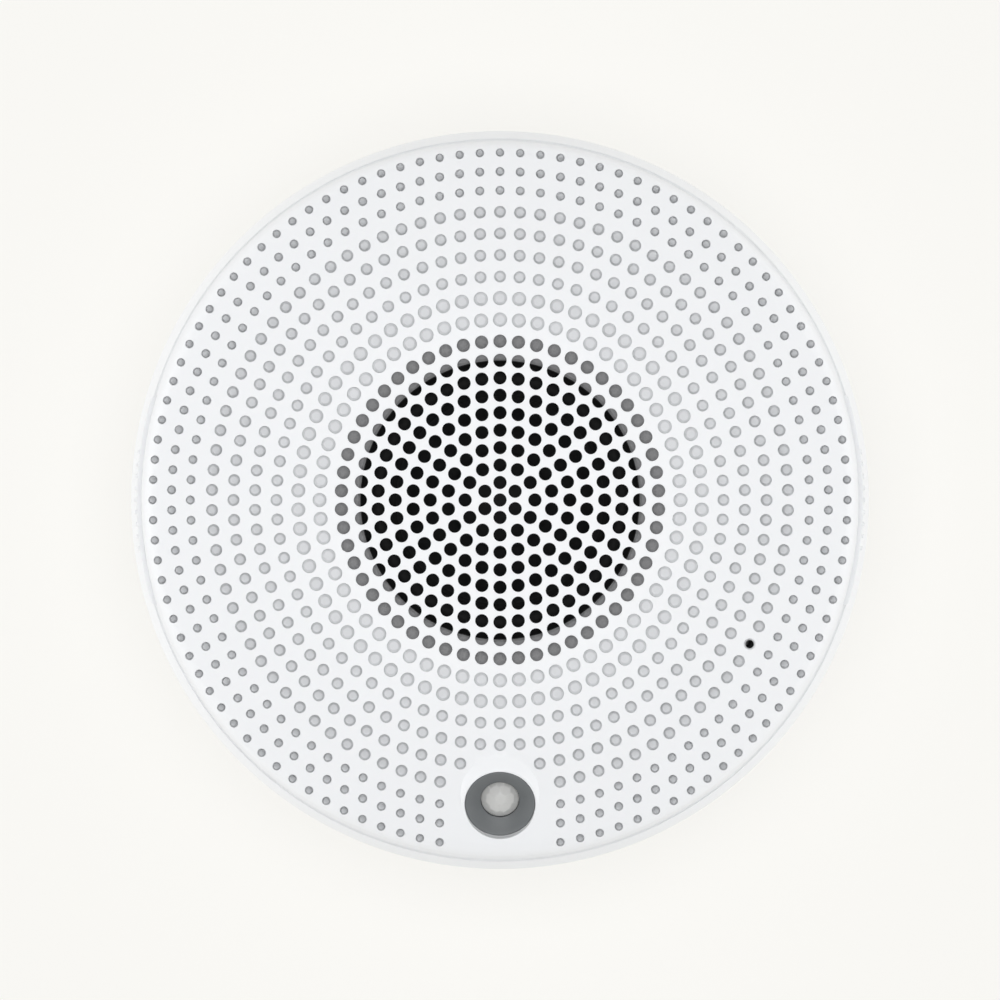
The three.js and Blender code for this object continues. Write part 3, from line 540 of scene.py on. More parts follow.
def make_finishes():
    """Every finish by the name of its material slot."""
    chosen = colours()
    cover = tuple(chosen.cover)
    housing = tuple(1.05 * channel for channel in cover)
    film = (0.55, 0.40, 0.20)
    connector = (0.72, 0.70, 0.64)
    grey_key = (0.10, 0.105, 0.11)
    return {
        "cover_white": cover_plastic("cover_white", cover),
        "housing_white": moulded_plastic("housing_white", housing, 0.5),
        "plate_steel": powder_coat("plate_steel", (0.50, 0.51, 0.52)),
        "cup_grey": moulded_plastic("cup_grey", tuple(chosen.cup), 0.5, 0.3 * MM, 0.008 * MM, 0.04),
        "lens_milky": milky_lens("lens_milky", tuple(chosen.lens)),
        "black_paper": paper_pulp("black_paper", (0.010, 0.010, 0.011)),
        "black_rubber": rubber("black_rubber", (0.005, 0.005, 0.0055), 0.7),
        "foam_grey": foam("foam_grey", tuple(chosen.foam)),
        "black_metal": powder_coat("black_metal", (0.015, 0.015, 0.016), 0.45),
        "zinc_steel": plated_metal("zinc_steel", (0.60, 0.61, 0.62)),
        "ferrite": sintered("ferrite", (0.040, 0.040, 0.044)),
        "copper": winding_wire("copper", (0.72, 0.34, 0.16)),
        "amber_cloth": woven_cloth("amber_cloth", (0.50, 0.30, 0.11)),
        "former_film": moulded_plastic("former_film", film, 0.3, 0.4 * MM, 0.004 * MM, 0.06),
        "board_green": circuit_board("board_green", (0.012, 0.10, 0.045)),
        "chip_black": moulded_epoxy("chip_black", (0.020, 0.020, 0.022)),
        "connector_white": moulded_plastic("connector_white", connector, 0.45, 0.3 * MM, 0.006 * MM, 0.03),
        "socket_steel": plated_metal("socket_steel", (0.66, 0.66, 0.65), 0.28),
        "contact_gold": plated_metal("contact_gold", (0.90, 0.66, 0.26), 0.25),
        "lead_black": rubber("lead_black", (0.018, 0.018, 0.018), 0.4),
        "lead_red": rubber("lead_red", (0.40, 0.025, 0.018), 0.4),
        "light_clear": clear_moulding("light_clear", (0.88, 0.92, 0.94)),
        "button_grey": moulded_plastic("button_grey", grey_key, 0.45, 0.3 * MM, 0.008 * MM, 0.05),
    }


FINISHES = {}


def finish_named(slot):
    """A slot's finish. All of them are made when the first is asked for."""
    if not FINISHES:
        FINISHES.update(make_finishes())
    return FINISHES[slot]


# ---------- mesh helpers ----------


def polar(radius, angle):
    return radius * math.cos(math.radians(angle)), radius * math.sin(math.radians(angle))


def at(radius, angle, height=0.0):
    """The matrix of a place on a circle round the speaker's axis, turned to that angle."""
    return Matrix.Rotation(math.radians(angle), 4, "Z") @ Matrix.Translation((radius, 0, height))


def leaning(radius, angle, height, tilt):
    """The matrix of a place on a circle that leans outwards by tilt degrees."""
    return at(radius, angle, height) @ Matrix.Rotation(math.radians(tilt), 4, "Y")


def object_of(name, mesh):
    made = bpy.data.objects.new(name, mesh)
    bpy.context.scene.collection.objects.link(made)
    return made


def object_from(name, bm, place=None):
    """Turns a bmesh into an object whose faces point outwards."""
    bmesh.ops.remove_doubles(bm, verts=bm.verts, dist=1e-7)
    bmesh.ops.recalc_face_normals(bm, faces=bm.faces)
    if place is not None:
        bm.transform(place)
    mesh = bpy.data.meshes.new(name)
    bm.to_mesh(mesh)
    bm.free()
    return object_of(name, mesh)


def turned(name, outline, segments=96, place=None):
    """A closed outline of (radius, height) points turned about Z. Points on the axis close it."""
    bm = bmesh.new()
    rings = []
    for radius, height in outline:
        count = segments if radius > 0 else 1
        corners = [(*polar(radius, 360 * i / segments), height) for i in range(count)]
        rings.append([bm.verts.new(corner) for corner in corners])
    for first, second in zip(rings, rings[1:] + rings[:1]):
        if len(first) == 1 and len(second) == 1:
            continue
        for i in range(segments):
            j = (i + 1) % segments
            lower = [first[i % len(first)], first[j % len(first)]]
            upper = [second[j % len(second)], second[i % len(second)]]
            bm.faces.new(list(dict.fromkeys(lower + upper)))
    return object_from(name, bm, place)


def upright(radius, bottom, top, place, sides=32):
    """A plain cylinder, which adds a post or cuts a hole."""
    return turned("upright", [(0, bottom), (radius, bottom), (radius, top), (0, top)], sides, place)


def standing_at(node):
    """The matrix that moves an upright shape from the axis to a node's centre."""
    lowest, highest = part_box(node)
    centre = (lowest + highest) / 2
    return Matrix.Translation((centre.x, centre.y, 0))


def bevelled(bm, width):
    """Rounds the edges at which faces meet at more than 30 degrees."""
    sharp = []
    for edge in bm.edges:
        if len(edge.link_faces) == 2 and edge.calc_face_angle() > math.radians(30):
            sharp.append(edge)
    bmesh.ops.bevel(bm, geom=sharp, offset=width, segments=2, profile=0.5, affect="EDGES")


def block(name, lowest, highest, place=None, bevel=0.0):
    bm = bmesh.new()
    bmesh.ops.create_cube(bm, size=1.0)
    bmesh.ops.scale(bm, vec=Vector(highest) - Vector(lowest), verts=bm.verts)
    bmesh.ops.translate(bm, vec=(Vector(lowest) + Vector(highest)) / 2, verts=bm.verts)
    if bevel:
        bevelled(bm, bevel)
    return object_from(name, bm, place)


def prism(name, corners, bottom, top, bevel=0.0):
    """A flat outline pushed up from bottom to top."""
    bm = bmesh.new()
    base = bm.faces.new([bm.verts.new((x, y, bottom)) for x, y in corners])
    lifted = bmesh.ops.extrude_face_region(bm, geom=[base])["geom"]
    moved = [item for item in lifted if isinstance(item, bmesh.types.BMVert)]
    bmesh.ops.translate(bm, vec=(0, 0, top - bottom), verts=moved)
    bmesh.ops.recalc_face_normals(bm, faces=bm.faces)
    if bevel:
        bevelled(bm, bevel)
    return object_from(name, bm)


def sector(name, inner, outer, start, end, bottom, top, steps=12, end_lean=0.0, bevel=0.0):
    """A flat ring sector between two radii and two angles, whose ends may slant."""
    outside = [polar(outer, start + (end - start) * i / steps) for i in range(steps + 1)]
    wide = end - start + 2 * end_lean
    inside = [polar(inner, start - end_lean + wide * i / steps) for i in range(steps, -1, -1)]
    return prism(name, outside + inside, bottom, top, bevel)


def remove_objects(objects):
    for obj in objects:
        mesh = obj.data
        bpy.data.objects.remove(obj)
        bpy.data.meshes.remove(mesh)


def bake(obj):
    """Applies an object's modifiers to its mesh and removes them."""
    depsgraph = bpy.context.evaluated_depsgraph_get()
    mesh = bpy.data.meshes.new_from_object(obj.evaluated_get(depsgraph))
    obj.modifiers.clear()
    old = obj.data
    obj.data = mesh
    bpy.data.meshes.remove(old)
    return obj


def combine(obj, others, operation):
    """Joins other solids to obj, or cuts them from it, and removes them."""
    for other in others:
        modifier = obj.modifiers.new(operation.lower(), "BOOLEAN")
        modifier.solver = "MANIFOLD"
        modifier.operation = operation
        modifier.object = other
    bake(obj)
    if not obj.data.polygons:
        raise RuntimeError(f"{obj.name} came out empty")
    remove_objects(others)
    return obj


def finish_piece(obj, slot, body, *nodes, angle=32, own_slot=True):
    """Gives a finished mesh its material and its body, and hides the frame nodes that it stands for."""
    obj.data.shade_smooth()
    obj.data.set_sharp_from_angle(angle=math.radians(angle))
    obj.data.materials.clear()
    obj.data.materials.append(finish_named(slot))
    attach(obj, body)
    if nodes:
        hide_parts(*nodes)


def merged_copy(node, flatness):
    """A copy of a frame node with its loose triangles merged into faces flat to some degrees."""
    bm = bmesh.new()
    bm.from_mesh(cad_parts[node].data)
    bmesh.ops.remove_doubles(bm, verts=bm.verts, dist=1e-6)
    bmesh.ops.dissolve_limit(bm, angle_limit=math.radians(flatness), verts=bm.verts, edges=bm.edges)
    return bm


def rounded_copy(node, slot, width=0.2 * MM):
    """A frame node's own shape with its edges rounded."""
    bm = merged_copy(node, 1)
    bevelled(bm, width)
    finish_piece(object_from(node + "_body", bm), slot, UNIT, node)


def round_tube_copy(node, slot):
    """A frame node's tube made smooth and round."""
    obj = object_from(node + "_tube", merged_copy(node, 0.5))
    modifier = obj.modifiers.new("smooth", "SUBSURF")
    modifier.levels = 2
    modifier.render_levels = 2
    finish_piece(bake(obj), slot, UNIT, node, angle=60)


# ---------- geometry nodes ----------


class GeometryTree(NodeMaker):
    """A geometry node tree with named inputs and one geometry output."""

    def __init__(self, name, inputs):
        tree = bpy.data.node_groups.new(name, "GeometryNodeTree")
        super().__init__(tree)
        tree.interface.new_socket("Geometry", in_out="OUTPUT", socket_type="NodeSocketGeometry")
        tree.interface.new_socket("Geometry", in_out="INPUT", socket_type="NodeSocketGeometry")
        self.values = inputs
        self.identifiers = {}
        for label, value in inputs.items():
            kind = self.kind_of(value)
            socket = tree.interface.new_socket(label, in_out="INPUT", socket_type=kind)
            self.identifiers[label] = socket.identifier
        self.entry = self.node("NodeGroupInput")
        self.index = self.node("GeometryNodeInputIndex")

    @staticmethod
    def kind_of(value):
        if isinstance(value, bpy.types.Object):
            return "NodeSocketObject"
        if isinstance(value, bpy.types.Material):
            return "NodeSocketMaterial"
        if isinstance(value, int):
            return "NodeSocketInt"
        return "NodeSocketFloat"

    def input(self, label):
        return self.entry.beside(label)

    def copies(self, label, count, position, rotation, scale=(1.0, 1.0, 1.0), chosen=True):
        """Real copies of an input object at points."""
        points = self.node("GeometryNodePoints", {}, {"Count": count, "Position": position})
        shape = self.node("GeometryNodeObjectInfo", {}, {"Object": self.input(label)}, output="Geometry")
        values = {
            "Points": points,
            "Selection": chosen,
            "Instance": shape,
            "Rotation": rotation,
            "Scale": scale,
        }
        placed = self.node("GeometryNodeInstanceOnPoints", {}, values)
        return self.node("GeometryNodeRealizeInstances", {}, {"Geometry": placed})

    def boolean(self, operation, first, second):
        """Cuts the second solid from the first, or joins the two."""
        cut = {"Mesh 1": first, "Mesh 2": second}
        joined = {"Mesh 2": [first, second]}
        settings = {"operation": operation, "solver": "MANIFOLD"}
        return self.node("GeometryNodeMeshBoolean", settings, cut if operation == "DIFFERENCE" else joined)

    def run(self, obj, result):
        """Ends the tree in Realize Instances and Set Material, and leaves obj with a plain mesh."""
        real = self.node("GeometryNodeRealizeInstances", {}, {"Geometry": result})
        values = {"Geometry": real, "Material": self.input("Material")}
        painted = self.node("GeometryNodeSetMaterial", {}, values)
        self.node("NodeGroupOutput", {}, {"Geometry": painted})
        modifier = obj.modifiers.new(self.tree.name, "NODES")
        modifier.node_group = self.tree
        for label, value in self.values.items():
            modifier[self.identifiers[label]] = value
        obj.update_tag()
        bake(obj)
        if not obj.data.polygons:
            raise RuntimeError(f"{self.tree.name} came out empty")
        return obj


def empty_object(name):
    return object_of(name, bpy.data.meshes.new(name))


def ring_of_copies(name, piece, slot, angles, radius, height, flipped=False):
    """Copies of a piece at given angles on a circle round the speaker's axis."""
    inputs = {
        "Piece": piece,
        "Circle radius": radius,
        "Height": height,
        "Flip": math.pi if flipped else 0.0,
        "Material": finish_named(slot),
    }
    for i, angle in enumerate(angles):
        inputs[f"Angle {i + 1}"] = math.radians(angle)
    tree = GeometryTree(name, inputs)
    turn = 0.0
    for i in range(len(angles)):
        is_this = 1.0 - (tree.index - float(i)).math("ABSOLUTE").math("MINIMUM", 1.0)
        turn = tree.input(f"Angle {i + 1}") * is_this + turn
    circle = tree.input("Circle radius")
    position = tree.vector(circle * turn.math("COSINE"), circle * turn.math("SINE"), tree.input("Height"))
    rotation = tree.vector(tree.input("Flip"), 0.0, turn)
    made = tree.run(empty_object(name), tree.copies("Piece", len(angles), position, rotation))
    remove_objects([piece])
    return made


# ---------- the cover ----------


def shoulder_points(inset, steps):
    """Points round the shoulder, some way inside its surface."""
    points = []
    for i in range(1, steps + 1):
        lean = EDGE_SLOPE + (math.pi / 2 - EDGE_SLOPE) * i / steps
        radius = SHOULDER_ROUND - inset
        points.append((SHOULDER_CENTRE + radius * math.sin(lean), SHOULDER_FOOT + radius * math.cos(lean)))
    return points


def dome_points(inset, steps):
    """Points down the dome, some way inside its surface and closer together where it starts to fall."""
    points = []
    for i in range(steps + 1):
        radius = DOME_FLAT + DOME_SPAN * (i / steps) ** 1.3
        slope = dome_slope(radius)
        points.append((radius - inset * math.sin(slope), dome_height(radius) - inset * math.cos(slope)))
    return points


def cover_outline():
    inner = COVER_RADIUS - COVER_WALL
    bead_top = COVER_FOOT + 1.2 * MM
    lip = COVER_RADIUS + BEAD
    return [
        (0, CROWN),
        (12 * MM, CROWN),
        (24 * MM, CROWN),
        *dome_points(0, 22),
        *shoulder_points(0, 10),
        (COVER_RADIUS, bead_top + 0.3 * MM),
        (COVER_RADIUS + BEAD * 0.4, bead_top + 0.1 * MM),
        (lip, bead_top - 0.15 * MM),
        (lip, COVER_FOOT + 0.2 * MM),
        (lip - 0.2 * MM, COVER_FOOT),
        (inner, COVER_FOOT),
        *reversed(shoulder_points(COVER_WALL, 6)),
        *reversed(dome_points(COVER_WALL, 12)),
        (0, CEILING),
    ]


def sensor_place():
    return leaning(SENSOR_RADIUS, -90, dome_height(SENSOR_RADIUS), SENSOR_TILT)


def microphone_place():
    slope = math.degrees(dome_slope(MICROPHONE_RADIUS))
    return leaning(MICROPHONE_RADIUS, MICROPHONE_ANGLE, dome_height(MICROPHONE_RADIUS), slope)


def through_hole_cutter(depth):
    """A cutting tool of unit radius: flared at the surface and straight below."""
    flare = 1.06
    chamfer = 0.12 * MM
    above = 0.8 * MM
    straight = [(0, -depth), (1.0, -depth), (1.0, -chamfer)]
    return turned("through_cutter", [*straight, (flare, 0.01 * MM), (flare, above), (0, above)], 20)


def dimple_cutter(depth):
    """A cutting tool of unit radius that leaves a bowl, tall enough for the slope of the shoulder."""
    above = 3 * MM
    bowl = [(0, -depth), (0.62, -depth * 0.95), (0.9, -depth * 0.72), (1.0, -depth * 0.35)]
    return turned("dimple_cutter", [*bowl, (1.0, above), (0, above)], 16)


def perforate(shell):
    """Cuts the rings of holes and dimples: ring k has 6k, and one of them points away from the sensor."""
    size = grille()
    cutters = [through_hole_cutter(4.5 * MM), dimple_cutter(size.dimple_depth)]
    microphone_x, microphone_y = polar(MICROPHONE_RADIUS, MICROPHONE_ANGLE)
    tree = GeometryTree(
        "perforations",
        {
            "Rings": size.rings,
            "Through rings": size.through_rings,
            "Inner pitch": size.inner_pitch,
            "Step to dimples": size.step_to_dimples,
            "Outer pitch": size.outer_pitch,
            "Edge pitch": size.edge_pitch,
            "Hole radius": size.hole_radius,
            "Large dimple radius": 1.45 * MM,
            "Middle dimple radius": 1.23 * MM,
            "Small dimple radius": 0.93 * MM,
            "Edge dimple radius": 0.87 * MM,
            "Plain area Y": -SENSOR_RADIUS - 1.2 * MM,
            "Plain area radius": size.sensor_clearance,
            "Microphone X": microphone_x,
            "Microphone Y": microphone_y,
            "Crown": CROWN,
            "Through cutter": cutters[0],
            "Dimple cutter": cutters[1],
            "First depth": 0.78,
            "Depth growth": 0.045,
            "Material": finish_named("cover_white"),
        },
    )
    # After the centre hole, ring k takes the places from 3k(k - 1) up to 3k(k + 1)
    rings = tree.input("Rings")
    count = rings * (rings + 1.0) * 3.0 + 1.0
    place = tree.index - 1.0
    ring = ((place.math("MAXIMUM", 0.0) * (4.0 / 3.0) + 1.0) ** 0.5 * 0.5 + 0.5).math("FLOOR")
    ring = ring * (tree.index > 0.5)
    first = ring * (ring - 1.0) * 3.0
    turn = (place - first) / (ring * 6.0).math("MAXIMUM", 1.0) * (2 * math.pi) + math.pi / 2

    outer_steps = 7.0
    last_inner = tree.input("Through rings") - 1.0
    past_inner = ring - last_inner
    radius = ring.math("MINIMUM", last_inner) * tree.input("Inner pitch")
    radius = radius + past_inner.clamped(0.0, 1.0) * tree.input("Step to dimples")
    radius = radius + (past_inner - 1.0).clamped(0.0, outer_steps) * tree.input("Outer pitch")
    radius = radius + (past_inner - (outer_steps + 1.0)).math("MAXIMUM", 0.0) * tree.input("Edge pitch")

    x = radius * turn.math("COSINE")
    y = radius * turn.math("SINE")
    size_here = tree.input("Edge dimple radius")
    for last_ring, label in (
        (17.5, "Small dimple radius"),
        (15.5, "Middle dimple radius"),
        (11.5, "Large dimple radius"),
        (9.5, "Hole radius"),
    ):
        inside = ring < last_ring
        size_here = size_here * (1.0 - inside) + tree.input(label) * inside

    def farther_than(gap, centre_x, centre_y):
        span = ((x - centre_x) ** 2.0 + (y - centre_y) ** 2.0) ** 0.5
        return span > gap

    kept = farther_than(tree.input("Plain area radius"), 0.0, tree.input("Plain area Y"))
    kept = kept * farther_than(1.5 * MM, tree.input("Microphone X"), tree.input("Microphone Y"))
    is_through = ring < tree.input("Through rings") + 0.5
    position = tree.vector(x, y, cover_height(tree.input("Crown"), radius))
    rotation = tree.vector(0.0, 0.0, turn)
    past_first = (past_inner - 2.0).math("MAXIMUM", 0.0)
    depth = past_first * tree.input("Depth growth") + tree.input("First depth")
    scale = tree.vector(size_here, size_here, depth)
    result = tree.input("Geometry")
    for label, chosen in (("Through cutter", is_through), ("Dimple cutter", 1.0 - is_through)):
        tools = tree.copies(label, count, position, rotation, scale, chosen * kept)
        result = tree.boolean("DIFFERENCE", result, tools)
    tree.run(shell, result)
    remove_objects(cutters)


def grip_pads():
    """Pads with slanted ends on both sides of the cover, and the ribs on them."""
    half_angle = 16.5
    bottom = 15 * MM
    top = 29 * MM
    outer = COVER_RADIUS + 1.0 * MM
    inner = COVER_RADIUS - 1.0 * MM
    pads = []
    for side in (0, 180):
        ends = (side - half_angle, side + half_angle)
        pads.append(sector("grip_pad", inner, outer, *ends, bottom, top, 24, 1.2, 0.25 * MM))
    rib_low = (outer - 0.5 * MM, -0.45 * MM, bottom + 1 * MM)
    rib_high = (outer + 0.4 * MM, 0.45 * MM, top - 1 * MM)
    rib = block("grip_rib", rib_low, rib_high, bevel=0.18 * MM)
    inputs = {
        "Ribs on a side": 9,
        "Rib pitch": math.radians(1.9),
        "Rib": rib,
        "Material": finish_named("cover_white"),
    }
    tree = GeometryTree("grip_ribs", inputs)
    per_side = tree.input("Ribs on a side")
    far_side = tree.index > per_side - 0.5
    step = tree.index - far_side * per_side
    turn = (step - (per_side - 1.0) * 0.5) * tree.input("Rib pitch") + far_side * math.pi
    copies = tree.copies("Rib", per_side * 2.0, (0.0, 0.0, 0.0), tree.vector(0.0, 0.0, turn))
    ribs = tree.run(empty_object("grip_ribs"), copies)
    remove_objects([rib])
    return [*pads, ribs]


def cover_posts():
    """Bosses for the driver screws and posts for the housing screws, and their bores."""
    width = 3.0 * MM
    soft = 0.2 * MM
    posts = []
    bores = []
    for angle in CORNERS:
        for circle, foot, depth in (
            (BOSS_CIRCLE, FRAME_FRONT + 0.1 * MM, 3.1 * MM),
            (POST_CIRCLE, BACK_WALL_TOP + 2 * MM + FIT_GAP, 10.6 * MM),
        ):
            place = at(circle, angle)
            top = dome_height(circle) - COVER_WALL / 2
            outline = [(0, foot), (width - soft, foot), (width, foot + soft), (width, top), (0, top)]
            posts.append(turned("post", outline, 32, place))
            bores.append(upright(SCREW_BORE, foot - 1 * MM, foot + depth, place, 20))
    return posts, bores


def sensor_collar():
    """The raised ring round the sensor cup, blending into the dome, and the opening through it."""
    hole = CUP_RADIUS + CLOSE_GAP
    ring = [
        (hole - 0.2 * MM, COLLAR_BOTTOM),
        (hole + 1.2 * MM, COLLAR_BOTTOM),
        (hole + 3.4 * MM, -2.6 * MM),
        (hole + 2.2 * MM, -1.5 * MM),
        (hole + 1.1 * MM, -0.5 * MM),
        (hole + 0.55 * MM, -0.1 * MM),
        (hole + 0.25 * MM, 0.08 * MM),
        (hole, 0.1 * MM),
        (hole - 0.2 * MM, 0.1 * MM),
    ]
    opening = [
        (0, -5 * MM),
        (hole, -5 * MM),
        (hole, -0.05 * MM),
        (hole + 0.1 * MM, 0.1 * MM),
        (hole + 0.1 * MM, 9 * MM),
        (0, 9 * MM),
    ]
    flange = CUP_RADIUS + CUP_FLANGE + FIT_GAP
    place = sensor_place()
    cuts = [turned("opening", opening, 96, place), upright(flange, -7.4 * MM, COLLAR_BOTTOM, place, 64)]
    return turned("collar", ring, 96, place), cuts


def microphone_opening():
    """A narrow opening with a countersunk mouth, straight through the cover."""
    inlet = 0.85 * MM
    mouth = 1.18 * MM
    outline = [
        (0, -4 * MM),
        (inlet, -4 * MM),
        (inlet, -0.75 * MM),
        (mouth, -0.3 * MM),
        (mouth, 1 * MM),
        (0, 1 * MM),
    ]
    place = at(MICROPHONE_RADIUS, MICROPHONE_ANGLE, dome_height(MICROPHONE_RADIUS))
    return turned("microphone_opening", outline, 32, place)


class SPEAKER_OT_front_cover(bpy.types.Operator):
    """Front cover with its grille, dimples, sensor collar and grip pads"""

    bl_idname = "speaker.front_cover"
    bl_label = "Front cover"

    def execute(self, context):
        shell = turned("cover_shell", cover_outline(), 192)
        posts, bores = cover_posts()
        collar, openings = sensor_collar()
        combine(shell, [*grip_pads(), *posts, collar], "UNION")
        combine(shell, [*bores, *openings, microphone_opening()], "DIFFERENCE")
        perforate(shell)
        finish_piece(shell, "cover_white", UNIT, "front_cover")
        return {"FINISHED"}


# ---------- rear housing and mounting plate ----------


def lock_slot(hook_angle):
    """A slot for one hook: a wide end to enter by, and a narrow arc to turn along."""
    neck_half = math.degrees((NECK_HALF_WIDTH + LOCK_GAP) / HOOK_CIRCLE)
    head_half = math.degrees((HEAD_HALF_WIDTH + LOCK_GAP) / HOOK_CIRCLE)
    inner = HOOK_CIRCLE - HOOK_HALF_THICK - LOCK_GAP
    outer = HOOK_CIRCLE + HOOK_HALF_THICK + LOCK_GAP
    released = hook_angle - LOCK_TURN
    bottom = BACK_WALL_BOTTOM - 2 * MM
    top = BACK_WALL_TOP + 1 * MM
    entry = (released - head_half, released + head_half)
    return [
        sector("lock_arc", inner, outer, released, hook_angle + neck_half, bottom, top, 24),
        sector("lock_entry", inner, outer + 3 * MM, *entry, bottom, top, 12),
    ]


def housing_outline():
    spigot = COVER_RADIUS - COVER_WALL - FIT_GAP
    inside = spigot - 1.8 * MM
    skirt = HOUSING_RADIUS - 1.4 * MM
    soft = 0.3 * MM
    return [
        (0, BACK_WALL_BOTTOM),
        (HOUSING_RADIUS - 3.2 * MM, BACK_WALL_BOTTOM),
        (HOUSING_RADIUS - 2.7 * MM, BACK_WALL_BOTTOM - 0.4 * MM),
        (HOUSING_RADIUS - 2.2 * MM, HOUSING_FOOT + soft),
        (HOUSING_RADIUS - 2.0 * MM, HOUSING_FOOT),
        (HOUSING_RADIUS - soft, HOUSING_FOOT),
        (HOUSING_RADIUS, HOUSING_FOOT + soft),
        (HOUSING_RADIUS - 0.7 * MM, (HOUSING_FOOT + SKIRT_TOP) / 2),
        (skirt, SKIRT_TOP - soft),
        (skirt - soft * 0.3, SKIRT_TOP - soft * 0.3),
        (skirt - soft, SKIRT_TOP),
        (spigot, SKIRT_TOP),
        (spigot, SKIRT_TOP + 3.8 * MM),
        (spigot - 0.2 * MM, SKIRT_TOP + 4 * MM),
        (inside, SKIRT_TOP + 4 * MM),
        (inside, BACK_WALL_TOP + 1 * MM),
        (inside - 0.6 * MM, BACK_WALL_TOP + 0.2 * MM),
        (inside - 1.2 * MM, BACK_WALL_TOP),
        (0, BACK_WALL_TOP),
    ]


def add_back_ribs(shell):
    """Short radial ribs that stiffen the back wall outside the mounting plate."""
    rib_low = (PLATE_RADIUS + 2.4 * MM, -0.5 * MM, BACK_WALL_BOTTOM - 1.6 * MM)
    rib_high = (HOUSING_RADIUS - 2.6 * MM, 0.5 * MM, BACK_WALL_BOTTOM + 0.3 * MM)
    rib = block("back_rib", rib_low, rib_high, bevel=0.15 * MM)
    inputs = {
        "Ribs": 60,
        "Screw gap": math.radians(5.0),
        "Rib": rib,
        "Material": finish_named("housing_white"),
    }
    tree = GeometryTree("back_ribs", inputs)
    turn = tree.index / tree.input("Ribs") * (2 * math.pi)
    from_screw = (turn.math("MODULO", math.pi / 2) - math.pi / 4).math("ABSOLUTE")
    clear = from_screw > tree.input("Screw gap")
    rotation = tree.vector(0.0, 0.0, turn)
    ribs = tree.copies("Rib", tree.input("Ribs"), (0.0, 0.0, 0.0), rotation, chosen=clear)
    tree.run(shell, tree.boolean("UNION", tree.input("Geometry"), ribs))
    remove_objects([rib])


def plug_pocket():
    """The pocket for the network plug, with room for the socket at its end."""
    socket_low, socket_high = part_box("network_socket")
    wall = 1.6 * MM
    room_low = Vector((socket_high.x - 2.8 * MM, socket_low.y - 1 * MM, BACK_WALL_BOTTOM - 1 * MM))
    room_high = Vector((socket_high.x + 28 * MM, socket_high.y + 1 * MM, BOARD_BOTTOM - 2.1 * MM))
    box_low = (room_low.x - wall, room_low.y - wall, BACK_WALL_BOTTOM + 0.1 * MM)
    box = block("pocket", box_low, room_high + Vector((wall, wall, wall)), bevel=0.4 * MM)
    socket_room_low = (room_low.x - wall - 1 * MM, socket_low.y - FIT_GAP, socket_low.z - FIT_GAP)
    socket_room_high = (socket_high.x + FIT_GAP, socket_high.y + FIT_GAP, BOARD_BOTTOM + 1 * MM)
    room = block("pocket_room", room_low, room_high)
    return box, [room, block("socket_room", socket_room_low, socket_room_high)]


class SPEAKER_OT_rear_housing(bpy.types.Operator):
    """Rear housing with its skirt, plug pocket, screw seats, lock slots and stiffening ribs"""

    bl_idname = "speaker.rear_housing"
    bl_label = "Rear housing"

    def execute(self, context):
        shell = turned("housing_shell", housing_outline(), 192)
        box, cuts = plug_pocket()
        additions = [box]
        pillar, seat, head_room = 2.8 * MM, 4.2 * MM, 2.95 * MM
        middle = BACK_WALL_TOP - HOUSING_WALL / 4
        seat_top = BACK_WALL_TOP + 2 * MM
        below = BACK_WALL_BOTTOM - 1 * MM
        for angle in PILLARS:
            place = at(PILLAR_CIRCLE, angle)
            additions.append(upright(pillar, middle, BOARD_BOTTOM, place))
            cuts.append(upright(SCREW_BORE, BOARD_BOTTOM - 9 * MM, BOARD_BOTTOM + 1 * MM, place))
        for angle in CORNERS:
            place = at(POST_CIRCLE, angle)
            additions.append(upright(seat, middle, seat_top, place))
            cuts.append(upright(head_room, below, BACK_WALL_TOP, place))
            cuts.append(upright(SCREW_BORE, BACK_WALL_TOP - 1 * MM, seat_top + 1 * MM, place))
        for angle in HOOKS:
            cuts.extend(lock_slot(angle))
        for node, opening in (("reset_button", 1.85 * MM), ("light_guide", 1.65 * MM)):
            cuts.append(upright(opening, below, BACK_WALL_TOP + 1 * MM, standing_at(node)))
        combine(shell, additions, "UNION")
        combine(shell, cuts, "DIFFERENCE")
        add_back_ribs(shell)
        finish_piece(shell, "housing_white", UNIT, "rear_housing")
        return {"FINISHED"}


def plate_outline():
    rim_top = 4.2 * MM
    sheet = 2.2 * MM
    edge = PLATE_RADIUS
    opening = 24 * MM
    soft = 0.25 * MM
    return [
        (opening, soft),
        (opening + soft, 0),
        (edge - soft, 0),
        (edge, soft),
        (edge, rim_top - soft),
        (edge - soft, rim_top),
        (edge - 1.6 * MM + soft, rim_top),
        (edge - 1.6 * MM, rim_top - soft),
        (edge - 1.6 * MM, sheet + 0.6 * MM),
        (edge - 2.0 * MM, sheet + 0.12 * MM),
        (edge - 2.5 * MM, sheet),
        (opening + soft, sheet),
        (opening, sheet - soft),
    ]


def lock_hook(angle):
    """A hook on the plate: a neck through the slot and a wider head behind the back wall."""
    head_bottom = BACK_WALL_TOP + 0.5 * MM
    inner = HOOK_CIRCLE - HOOK_HALF_THICK
    neck_low = (inner, -NECK_HALF_WIDTH, 1.2 * MM)
    neck_high = (HOOK_CIRCLE + HOOK_HALF_THICK, NECK_HALF_WIDTH, head_bottom + 1 * MM)
    head_low = (inner, -HEAD_HALF_WIDTH, head_bottom)
    head_high = (inner + 5 * MM, HEAD_HALF_WIDTH, head_bottom + 2 * MM)
    place = at(0, angle)
    return [
        block("hook_neck", neck_low, neck_high, place, 0.2 * MM),
        block("hook_head", head_low, head_high, place, 0.3 * MM),
    ]


def wall_slot(angle):
    """A slot with round ends for a wall screw."""
    half = 2.2 * MM
    start, end = 29 * MM, 43 * MM
    below, above = -1 * MM, 3 * MM
    cuts = [block("slot", (start, -half, below), (end, half, above), at(0, angle))]
    for circle in (start, end):
        cuts.append(upright(half, below, above, at(circle, angle)))
    return cuts


